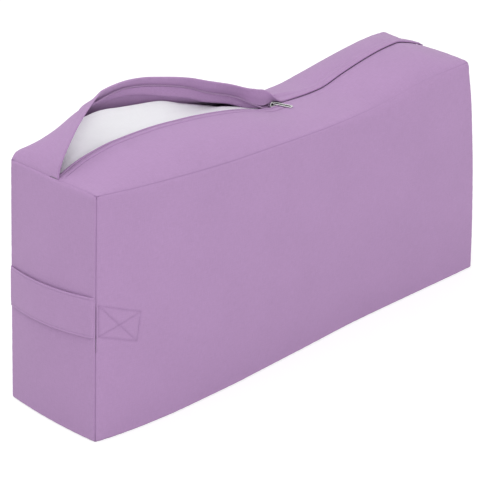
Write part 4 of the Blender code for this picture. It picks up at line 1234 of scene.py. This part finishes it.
class BOLSTER_OT_top_back(bpy.types.Operator):
    """Sew the back half of the top strip, raised along the open mouth, with the lap that hides the zip."""

    bl_idname = "bolster.top_back"
    bl_label = "Top, back half"

    def execute(self, context):
        sewing = context.scene.bolster_sewing
        columns = seam_spaced(-HALF_TOP, HALF_TOP, FLAP_PITCH)
        width = HALF_WIDTH - LAP_ROOT_SETBACK
        lower = seam_spaced(LAP_ROOT_SETBACK + LAP_ROOT_ROWS, HALF_WIDTH, FLAP_PITCH, (False, True))
        lower = (HALF_WIDTH - lower[::-1]) / width
        near_root = 1 - np.array(LAP_ROOT_STEPS) / 1000 / width
        part = np.concatenate((lower, near_root, 1 + np.array(LAP_STEPS)))
        x, p = np.meshgrid(columns, part, indexing="ij")
        plain, seam = skin(sewing, x, mix(HALF_WIDTH, LAP_ROOT_SETBACK, np.minimum(p, 1)), HEIGHT)
        base = puffed(plain)
        along = x / HALF_TOP
        place = mouth_place(along)
        base[..., 1:] += turned_up(along, p)
        base[..., 1:] = np.where((p > 1)[..., None], flap_spot(along, p), base[..., 1:])
        out = outward(base)
        out *= np.sign(out[..., 2].mean())
        from_root = (1 - p) * np.where(p > 1, LAP_OVERLAP + LAP_ROOT_SETBACK, width)
        ridge = LAP_RIDGE * through(LAP_RIDGE_SHARES, place) * bell(from_root, *LAP_RIDGE_SPOT)
        start, end = (1 - step / width for step in LAP_STEP)
        above = LAP_OUTSIDE * eased(p, start, end)
        start, end = 1 - LAP_INNER_STEP / width, 1 + LAP_INNER_END
        below = mix(-COVER_THICKNESS, LAP_INSIDE, eased(p, start, end))
        rounded = fold_round((2 - p) * (LAP_OVERLAP + LAP_ROOT_SETBACK), LAP_OUTSIDE - LAP_INSIDE)
        stitched = bell((p - 1) * LAP_OVERLAP, *LAP_STITCH_SPOT) * eased(place, *LAP_STITCH_FADE)
        at_end = eased(HALF_TOP - np.abs(x), *LAP_ENDS)
        thinned = mix(LAP_END_SHARE, 1, at_end) * mix(LAP_LEFT_SHARE, 1, eased(x + HALF_TOP, *LAP_LEFT))
        above = above * thinned - rounded - LAP_STITCH_DENT * stitched + ridge
        below = below * mix(LAP_INNER_END_SHARE, 1, at_end) + rounded
        outer, inner = (base + out * offset[..., None] for offset in (above, below))
        shade = np.maximum(seam, LAP_STITCH_SHADE * stitched)
        piece = shell("cover_top_back_half", outer, inner, lilac_cloth(), shade)
        bend_with_flap(piece, "lilac_cloth", "cover_top_back")
        return {"FINISHED"}


class BOLSTER_OT_zip_chain(bpy.types.Operator):
    """Lay the two zip tapes and wind their coils."""

    bl_idname = "bolster.zip_chain"
    bl_label = "Zip tapes and coils"

    def execute(self, context):
        finish = context.scene.bolster_finish
        tape = made_once("lilac zip tape", taped, tuple(finish.tape_colour))
        coil = made_once("lilac zip coil", moulded, tuple(finish.coil_colour))
        columns = np.linspace(-ZIP_HALF_LENGTH, ZIP_HALF_LENGTH, TAPE_COLUMNS)
        near, far = TAPE_REACH
        reach = np.array((near, near + TAPE_EDGE, *TAPE_STEPS, far - TAPE_EDGE, far))
        x, r = np.meshgrid(columns, reach, indexing="ij")
        half = ZIP_HALF_LENGTH - COIL_END_GAP
        turns = int(2 * half / COIL_PITCH)
        angle = np.linspace(0, 2 * math.pi * turns, turns * COIL_TURN_STEPS + 1)
        coil_x = -half + angle / (2 * math.pi) * COIL_PITCH
        middle = sum(COIL_REACH) / 2
        wide, high = (COIL_REACH[1] - COIL_REACH[0]) / 2 - COIL_WIRE, COIL_HEIGHT / 2 - COIL_WIRE
        section = rounded_section(2 * COIL_WIRE, 2 * COIL_WIRE, COIL_WIRE * 0.999, 1)
        for side, name in ((-1, "front"), (1, "back")):
            outer, inner = (zip_spot(side, x, r, depth) for depth in TAPE_DEPTHS)
            band = shell("zip_tape_" + name + "_woven", outer, inner, tape)
            path = zip_spot(side, coil_x, middle - wide * np.cos(angle), ZIP_DEPTH - high * np.sin(angle))
            winding = wrapped("zip_coil_" + name + "_wound", swept(path, section, up=(1.0, 0.0, 0.0)), coil)
            halves = ((band, "lilac_tape", "zip_tape_"), (winding, "lilac_coil", "zip_coil_"))
            for piece, slot, node in halves:
                if side > 0:
                    bend_with_flap(piece, slot, node + name)
                else:
                    ride_as(piece, "cover", slot, node + name)
        return {"FINISHED"}


def closed_loop(count, start=0.0):
    """Angles once round."""
    return (np.arange(count) + start) * 2 * math.pi / count


def signed_power(value, power):
    return math.copysign(abs(value) ** power, value)


def outline_plate(bm, corners, low, high, bevel):
    """A plate with a given outline, softened round its rims."""
    made = bmesh.ops.create_circle(bm, cap_ends=True, segments=len(corners), radius=1.0)
    for corner, (x, y) in zip(made["verts"], corners):
        corner.co = (x, y, low)
    face = made["verts"][0].link_faces[0]
    raised = bmesh.ops.extrude_face_region(bm, geom=[face], use_keep_orig=True)
    top = [item for item in raised["geom"] if isinstance(item, bmesh.types.BMVert)]
    bmesh.ops.translate(bm, vec=(0, 0, high - low), verts=top)
    edges = {edge for corner in made["verts"] + top for edge in corner.link_edges}
    rims = [edge for edge in edges if edge.calc_face_angle(0) > RIM_ANGLE]
    bmesh.ops.bevel(bm, geom=rims, offset=bevel, segments=2, profile=0.5, affect="EDGES", material=-1)


def slider_outline(long, wide, narrow, steps=10):
    """A slider plate seen from above: broad with rounded shoulders at the open side, then narrower."""
    points = []
    for k in range(4 * steps):
        turn = 2 * math.pi * k / (4 * steps)
        c, s = math.cos(turn), math.sin(turn)
        x = long * signed_power(c, SLIDER_ROUNDNESS[0])
        half = mix(wide, narrow, eased(x, -long * SLIDER_SHOULDER_SHARE, long))
        points.append((x, half * signed_power(s, SLIDER_ROUNDNESS[1])))
    return points


def cast(name, bm, matrix, make_material, body, *nodes):
    """Metal plates made round their own middle, put in their place on a body."""
    bmesh.ops.transform(bm, matrix=matrix, verts=bm.verts[:])
    piece = finished(name, turned_out(name, bm), make_material(), METAL_SHARP)
    ride_as(piece, body, "nickel", *nodes)


class BOLSTER_OT_slider(bpy.types.Operator):
    """Cast the zip's slider, hang its pull on the bridge and crimp the stops."""

    bl_idname = "bolster.slider"
    bl_label = "Slider, pull and stops"

    def execute(self, context):
        low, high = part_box("zip_slider")
        centre = np.array(((low.x + high.x) / 2, (low.y + high.y) / 2, low.z + SLIDER_MIDDLE))
        long, wide = (high.x - low.x) / 2, (high.y - low.y) / 2
        place = Matrix.Translation(centre)
        outline = slider_outline(long, wide, wide * SLIDER_NARROW_SHARE)
        bm = bmesh.new()
        outline_plate(bm, outline, *PLATE_LEVELS, PLATE_BEVEL)
        wedge = [
            (-long + WEDGE_LENGTH * (0.5 - 0.5 * math.cos(t)), WEDGE_HALF_WIDTH * math.sin(t))
            for t in closed_loop(12)
        ]
        outline_plate(bm, wedge, FLANGE_LEVELS[1][0], FLANGE_LEVELS[0][1], THIN_BEVEL)
        tail, bend, nose = (long * share for share in FLANGE_SHARES)
        inner, outer, narrow = wide - FLANGE_INSETS[0], wide - FLANGE_INSETS[1], wide * FLANGE_SHARES[2]
        for side in (-1, 1):
            for levels in FLANGE_LEVELS:
                rim = [
                    (-tail, inner), (-tail, outer), (-bend, outer),
                    (nose, narrow), (nose, narrow - FLANGE_INSETS[2]), (-bend, inner),
                ]
                rim = [(x, side * y) for x, y in (rim if side > 0 else rim[::-1])]
                outline_plate(bm, rim, *levels, FLANGE_BEVEL)
        cast("slider_body", bm, place, nickel, "slider", "zip_slider")
        t = np.linspace(0, 1, BRIDGE_STEPS)
        rise = BRIDGE_FOOT + BRIDGE_RISE * (1 - np.abs(2 * t - 1) ** 4.0)
        arch = points_of(-BRIDGE_LENGTH / 2 + BRIDGE_LENGTH * t, 0.0, rise) + centre
        section = rounded_section(*BRIDGE_SECTION, 2)
        bridge = wrapped("slider_bridge", swept(arch, section, up=(0, 1, 0)), nickel())
        ride_as(bridge, "slider", "nickel")
        # The underside and saddle are painted dark for the shade beneath the slider's top plate
        bm = bmesh.new()
        low, high = PLATE_LEVELS
        outline_plate(bm, outline, -high, -low, PLATE_BEVEL)
        saddle = [size * share for size, share in zip((long, wide, wide), SADDLE_SHARES)]
        outline_plate(bm, slider_outline(*saddle), *SADDLE_LEVELS, THIN_BEVEL)
        cast("slider_underside", bm, place, shade_painted_nickel, "slider")
        self.hang_pull()
        for node in ("zip_top_stop_front", "zip_top_stop_back", "zip_bottom_stop"):
            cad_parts[node].data.materials.clear()
            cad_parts[node].data.materials.append(nickel())
        return {"FINISHED"}

    def hang_pull(self):
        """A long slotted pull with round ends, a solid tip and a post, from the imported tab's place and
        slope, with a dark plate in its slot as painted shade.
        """
        spots = np.array([corner.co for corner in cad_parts["pull_tab"].data.vertices], float)
        centre = spots.mean(axis=0)
        axes = np.linalg.svd(spots - centre, full_matrices=False)[2]
        ahead = axes[0] * (1 if axes[0][1] < 0 else -1)
        up = axes[2] * (1 if axes[2][2] > 0 else -1)
        aside = np.cross(up, ahead)
        reach = np.ptp((spots - centre) @ ahead) / 2
        half = PULL_WIDENING * np.ptp((spots - centre) @ aside) / 2
        turn = closed_loop(28)
        ring = np.stack((np.cos(turn), np.sin(turn)), axis=-1) * (half - PULL_BAR / 2)
        ring[:, 0] += np.where(np.cos(turn) >= -1e-9, 1, -1) * (reach - half)
        path = ring[:, :1] * ahead + ring[:, 1:] * aside + centre
        section = rounded_section(PULL_BAR, PULL_THICKNESS, PULL_ROUNDING, 2)
        loop = wrapped("pull_frame", swept(path, section, ring=True, up=tuple(up)), nickel(), ring=True)
        ride_as(loop, "tab", "nickel", "pull_tab")
        place = Matrix.Translation(centre) @ Matrix((ahead, aside, up)).transposed().to_4x4()
        bm = bmesh.new()
        rim = [
            (reach - TIP_START + TIP_LENGTH * math.sin(t) ** 0.5, half * TIP_WIDTH_SHARE * math.cos(t))
            for t in closed_loop(24, 0.5)[:12]
        ]
        outline_plate(bm, rim, *TIP_LEVELS, FLANGE_BEVEL)
        post = [
            (-reach + POST_START + POST_HALF_LENGTH * math.cos(t), half * POST_WIDTH_SHARE * math.sin(t))
            for t in closed_loop(12)
        ]
        outline_plate(bm, post, *POST_LEVELS, FLANGE_BEVEL)
        cast("pull_tip", bm, place, nickel, "tab")
        # A dark plate in the slot: painted shade for the shade between the pull's bars
        bm = bmesh.new()
        long, wide = reach * RECESS_LENGTH_SHARE, half - PULL_BAR * RECESS_BAR_SHARE
        ahead_power, aside_power = RECESS_ROUNDNESS
        rim = [
            (
                long * signed_power(math.cos(t), ahead_power) + RECESS_SHIFT,
                wide * signed_power(math.sin(t), aside_power),
            )
            for t in closed_loop(24, 0.5)
        ]
        outline_plate(bm, rim, *RECESS_LEVELS, RECESS_BEVEL)
        cast("pull_recess", bm, place, shade_painted_nickel, "tab")


def strap_path(lean):
    """Half of a strap's middle line, from a tail behind a broad panel to the middle of the end.

    Each row is how far it stands off the end, its place across, its outward direction as two numbers, and
    its height.
    """
    half = STRAP_THICKNESS / 2
    tail_y = HALF_WIDTH - COVER_THICKNESS - STRAP_SLACK - half
    corner_z = STRAP_HEIGHT + STRAP_CORNER_RISE + lean
    reach = half + STRAP_SLACK
    turn_x = reach - STRAP_TURN
    inward = np.linspace(STRAP_TAIL, -turn_x, STRAP_TAIL_STEPS)
    tail = points_of(-inward, -tail_y, 0.0, -1.0, corner_z - STRAP_TAIL_DROP * inward / STRAP_TAIL)
    angle = np.radians(np.linspace(0, 90, STRAP_TURN_STEPS))[1:-1]
    turn = points_of(
        turn_x + np.sin(angle) * STRAP_TURN, STRAP_TURN - tail_y - np.cos(angle) * STRAP_TURN,
        np.sin(angle), -np.cos(angle), corner_z,
    )
    y = np.linspace(STRAP_TURN - tail_y, 0, STRAP_FLAT_STEPS)
    across = y / (tail_y - STRAP_TURN)
    height = STRAP_HEIGHT + STRAP_CORNER_RISE * across**2 - lean * across
    flat = points_of(reach + STRAP_BOW * (1 - across**2), y, 1.0, 0.0, height)
    return np.concatenate((tail, turn, flat))


class BOLSTER_OT_straps(bpy.types.Operator):
    """Fold and topstitch the carrying straps, each in two halves that meet in the middle of its end."""

    bl_idname = "bolster.straps"
    bl_label = "Carrying straps"

    def execute(self, context):
        edge = np.array(STRAP_EDGE_STEPS) / 1000
        rows = STRAP_WIDTH / 2 - np.concatenate((edge, np.linspace(STRAP_MIDDLE_START, STRAP_WIDTH / 2, 7)))
        rows = np.concatenate((-rows[:-1], rows[::-1]))
        gap = STRAP_WIDTH / 2 - np.abs(rows)
        profile = 1 - fold_round(gap, STRAP_THICKNESS) / (STRAP_THICKNESS / 2) * STRAP_EDGE_THINNING
        stitched = bell(gap, *STRAP_STITCH_SPOT)
        profile = profile + STRAP_PUFF * eased(gap, *STRAP_PUFF_START) - STRAP_STITCH_DENT * stitched
        for end, name in ((-1, "left"), (1, "right")):
            for flank, half_name in ((1, "front"), (-1, "back")):
                path = strap_path(flank * STRAP_LEAN)
                x, y, out_x, out_y, z = (path[:, k, None] for k in range(5))
                z = z + rows[None, :]
                faces = []
                for layer in (1, -1):
                    offset = layer * STRAP_THICKNESS / 2 * profile[None, :]
                    face_y = flank * (y + out_y * offset)
                    face = puffed(points_of(end * HALF_TOP, face_y, z))
                    face[..., 0] = self.beyond_end(end, end * (x + out_x * offset), face_y, z)
                    faces.append(face)
                shade = np.tile(STRAP_STITCH_SHADE * stitched, (len(path), 1))
                piece = shell("strap_" + name + "_" + half_name, *faces, lilac_cloth(), shade)
                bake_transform(piece)
                stands_for(piece, "lilac_cloth", "handle_" + name)
        return {"FINISHED"}

    def beyond_end(self, end, beyond, y, z):
        """x of points that stand off the bulging end by a distance."""
        up = np.clip(z / HEIGHT, 0, 1)
        across = np.clip(y / HALF_WIDTH, -1, 1)
        bulge = (END_BULGE * 4 * up * (1 - up) + BASE_END_BULGE * (1 - up)) * (1 - across**2)
        half_length = mix(BASE_LENGTH, TOP_LENGTH, up) / 2
        along = np.clip((end * half_length + beyond) / half_length, -1, 1)
        return end * half_length + beyond + along * bulge


class BOLSTER_OT_inner_cushion(bpy.types.Operator):
    """Sew the white case of the inner cushion."""

    bl_idname = "bolster.inner_cushion"
    bl_label = "Inner cushion"

    def execute(self, context):
        sewing = context.scene.bolster_sewing
        d = LINER_DEPTHS
        long, wide, base, top = HALF_TOP - d["end"], HALF_WIDTH - d["side"], d["base"], HEIGHT - d["top"]
        columns, across = seam_spaced(-long, long, CUSHION_PITCH), seam_spaced(-wide, wide, PANEL_PITCH)
        heights = seam_spaced(base, top, CUSHION_ROW_PITCH)
        broad, end, strip = (BASE_LENGTH, HEIGHT), (WIDTH, HEIGHT), (BASE_LENGTH, WIDTH)
        x, z = np.meshgrid(columns, heights, indexing="ij")
        faces = [("front", "_panel", x, -wide, z, 1, broad), ("back", "_panel", x, wide, z, -1, broad)]
        y, z = np.meshgrid(across, heights, indexing="ij")
        faces += [("left", "_end", -long, y, z, -1, end), ("right", "_end", long, y, z, 1, end)]
        x, y = np.meshgrid(seam_spaced(-long, long, TOP_PITCH), across, indexing="ij")
        faces += [("base", "_strip", x, y, base, -1, strip)]
        faces += [("top", "_strip", x, y, top, 1, (TOP_LENGTH, WIDTH))]
        for name, kind, x, y, z, sign, flat in faces:
            spots, seam = skin(sewing, x, y, z, d, CUSHION_STRENGTH)
            if name == "top":
                inside = eased(wide - np.abs(y), *CUSHION_DRIFT_FADE)
                spots[..., 2] += CUSHION_DRIFT * drifting(spots, CUSHION_DRIFT_SIZE) * inside
            outer = puffed(spots, lifted=name != "base")
            piece = sheet_of("cushion_" + name, outer, LINER_THICKNESS, white_cloth(), seam, sign)
            if name == "top":
                bend_with_flap(piece, "white_cotton", "liner_" + name + kind)
            else:
                ride_as(piece, "cover", "white_cotton", "liner_" + name + kind)
        return {"FINISHED"}


class BOLSTER_OT_filling(bpy.types.Operator):
    """Wrap the foam core in its soft batting."""

    bl_idname = "bolster.filling"
    bl_label = "Foam and batting"

    def execute(self, context):
        finish = context.scene.bolster_finish
        foam = made_once("open-cell foam", fluffy, tuple(finish.foam_colour), *FOAM_LOOK)
        batting = made_once("fibre batting", fluffy, tuple(finish.batting_colour), *BATTING_LOOK)
        low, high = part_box("foam_core")
        bm = bmesh.new()
        bmesh.ops.create_cube(bm, size=2.0)
        bmesh.ops.scale(bm, vec=(high - low) / 2, verts=bm.verts[:])
        bmesh.ops.translate(bm, vec=(low + high) / 2, verts=bm.verts[:])
        bmesh.ops.bevel(
            bm, geom=bm.edges[:], offset=FOAM_BEVEL, segments=4, profile=0.5, affect="EDGES", material=-1
        )
        bmesh.ops.triangulate(bm, faces=bm.faces[:])
        core = finished("foam_block", mesh_of("foam_block", bm), foam)
        ride_as(core, "cover", "foam", "foam_core")
        wrap = self.soften("batting_wrap", "batting_round_foam", batting)
        bend_with_flap(wrap, "batting", "batting_wrap")
        for side in ("left", "right"):
            pad = self.soften("batting_end_" + side, "batting_pad_" + side, batting)
            ride_as(pad, "cover", "batting", "batting_end_" + side)
        return {"FINISHED"}

    def soften(self, node, name, material):
        """A merged and slightly uneven copy of a packed pad, with finer faces."""
        bm = bmesh.new()
        bm.from_mesh(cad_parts[node].data)
        bmesh.ops.remove_doubles(bm, verts=bm.verts[:], dist=1e-6)
        bmesh.ops.recalc_face_normals(bm, faces=bm.faces[:])
        long = [edge for edge in bm.edges if edge.calc_length() > BATTING_LONGEST]
        bmesh.ops.subdivide_edges(bm, edges=long, cuts=2, use_grid_fill=True)
        bm.normal_update()
        for corner in bm.verts:
            uneven = float(drifting(np.array(corner.co), BATTING_DRIFT_SIZE))
            corner.co -= corner.normal * (BATTING_SINK + BATTING_DRIFT * uneven)
        return finished(name, mesh_of(name, bm), material)


class BOLSTER_OT_stage(bpy.types.Operator):
    """Set up the white floor, the soft light and the camera."""

    bl_idname = "bolster.stage"
    bl_label = "Stage"

    def execute(self, context):
        light = context.scene.bolster_light
        self.place_camera(context.scene)
        self.light_world(context.scene, light.surround)
        for name, place, target, size, power in LAMPS:
            self.hang_lamp(name, place, target, size, getattr(light, power))
        bm = bmesh.new()
        bmesh.ops.create_grid(bm, x_segments=1, y_segments=1, size=FLOOR_SIZE)
        mesh = mesh_of("floor", bm)
        mesh.materials.append(self.floor_material())
        floor = bpy.data.objects.new("floor", mesh)
        context.scene.collection.objects.link(floor)
        context.scene.view_settings.view_transform = "Standard"
        return {"FINISHED"}

    def place_camera(self, scene):
        azimuth, elevation, roll = (math.radians(a) for a in CAMERA_ANGLES)
        level = math.cos(elevation)
        ahead = Vector((-math.sin(azimuth) * level, math.cos(azimuth) * level, -math.sin(elevation)))
        right = ahead.cross(Vector((0, 0, 1))).normalized()
        up = right.cross(ahead)
        rolled_right = right * math.cos(roll) + up * math.sin(roll)
        rolled_up = up * math.cos(roll) - right * math.sin(roll)
        lens = bpy.data.cameras.new("camera")
        lens.sensor_width = SENSOR_WIDTH
        lens.lens = CAMERA_REACH * SENSOR_WIDTH / PICTURE_SIDE
        lens.clip_end = CAMERA_CLIP
        camera = bpy.data.objects.new("camera", lens)
        turn = Matrix((rolled_right, rolled_up, -ahead)).transposed().to_4x4()
        camera.matrix_world = Matrix.Translation(CAMERA_PLACE) @ turn
        scene.collection.objects.link(camera)
        scene.camera = camera

    def hang_lamp(self, name, place, target, size, power):
        lamp = bpy.data.lights.new(name, "AREA")
        lamp.shape = "DISK"
        lamp.size = size
        lamp.energy = power
        obj = bpy.data.objects.new(name, lamp)
        aim = (Vector(target) - Vector(place)).to_track_quat("-Z", "Y").to_matrix().to_4x4()
        obj.matrix_world = Matrix.Translation(place) @ aim
        bpy.context.scene.collection.objects.link(obj)

    def seen_directly(self, n):
        """1 for what the camera sees, directly or in metal and glass."""
        camera, glossy, glass = (
            n.add("ShaderNodeLightPath", output=ray)
            for ray in ("Is Camera Ray", "Is Glossy Ray", "Is Transmission Ray")
        )
        return n.math("MAXIMUM", n.math("MAXIMUM", camera, glossy), glass)

    def light_world(self, scene, strength):
        n = Nodes(bpy.data.worlds.new("white surround"))
        links = {"Value": self.seen_directly(n), "To Min": strength, "To Max": 1.0}
        level = n.add("ShaderNodeMapRange", links)
        n.fill(n.tree.nodes["Background"], {"Color": (1, 1, 1, 1), "Strength": level})
        scene.world = n.owner

    def floor_material(self):
        """White where it is lit, with the bolster's soft shadow left in."""
        n = material_nodes("white floor")
        n.tree.nodes.clear()
        plain = n.add("ShaderNodeBsdfDiffuse", {"Color": (*(FLOOR_GREY,) * 3, 1)})
        pale = n.add("ShaderNodeBsdfDiffuse", {"Color": (*(FLOOR_SEEN_GREY,) * 3, 1)})
        glow = n.add("ShaderNodeEmission", {"Strength": FLOOR_GLOW})
        both = n.add("ShaderNodeAddShader", {0: pale, 1: glow})
        choice = n.add("ShaderNodeMixShader", {0: self.seen_directly(n), 1: plain, 2: both})
        n.fill(n.tree.nodes.new("ShaderNodeOutputMaterial"), {"Surface": choice})
        return n.owner


class BOLSTER_PT_sidebar(bpy.types.Panel):
    """The bolster's sizes, colours and making steps."""

    bl_idname = "BOLSTER_PT_sidebar"
    bl_label = "Yoga bolster"
    bl_space_type = "VIEW_3D"
    bl_region_type = "UI"
    bl_category = "Bolster"

    def draw(self, context):
        for title, group in (
            ("Sewing", context.scene.bolster_sewing),
            ("Colours", context.scene.bolster_finish),
            ("Light", context.scene.bolster_light),
        ):
            box = self.layout.box()
            box.label(text=title)
            for name in group.bl_rna.properties.keys():
                if name not in ("rna_type", "name"):
                    box.prop(group, name)
        box = self.layout.box()
        box.label(text="Make")
        for step in STEPS:
            box.operator(step.bl_idname)


STEPS = (
    BOLSTER_OT_broad_panels,
    BOLSTER_OT_end_panels,
    BOLSTER_OT_top_front,
    BOLSTER_OT_top_back,
    BOLSTER_OT_zip_chain,
    BOLSTER_OT_slider,
    BOLSTER_OT_straps,
    BOLSTER_OT_inner_cushion,
    BOLSTER_OT_filling,
    BOLSTER_OT_stage,
)
GROUPS = {"bolster_sewing": BolsterSewing, "bolster_finish": BolsterFinish, "bolster_light": BolsterLight}


def register():
    for kind in (*GROUPS.values(), *STEPS, BOLSTER_PT_sidebar):
        bpy.utils.register_class(kind)
    for name, group in GROUPS.items():
        setattr(bpy.types.Scene, name, PointerProperty(type=group))


def unregister():
    for name in GROUPS:
        delattr(bpy.types.Scene, name)
    for kind in reversed((*GROUPS.values(), *STEPS, BOLSTER_PT_sidebar)):
        bpy.utils.unregister_class(kind)


def main():
    register()
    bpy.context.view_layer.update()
    bpy.ops.bolster.broad_panels()
    bpy.ops.bolster.end_panels()
    bpy.ops.bolster.top_front()
    bpy.ops.bolster.top_back()
    bpy.ops.bolster.zip_chain()
    bpy.ops.bolster.slider()
    bpy.ops.bolster.straps()
    bpy.ops.bolster.inner_cushion()
    bpy.ops.bolster.filling()
    bpy.ops.bolster.stage()


if __name__ == "__main__":
    main()
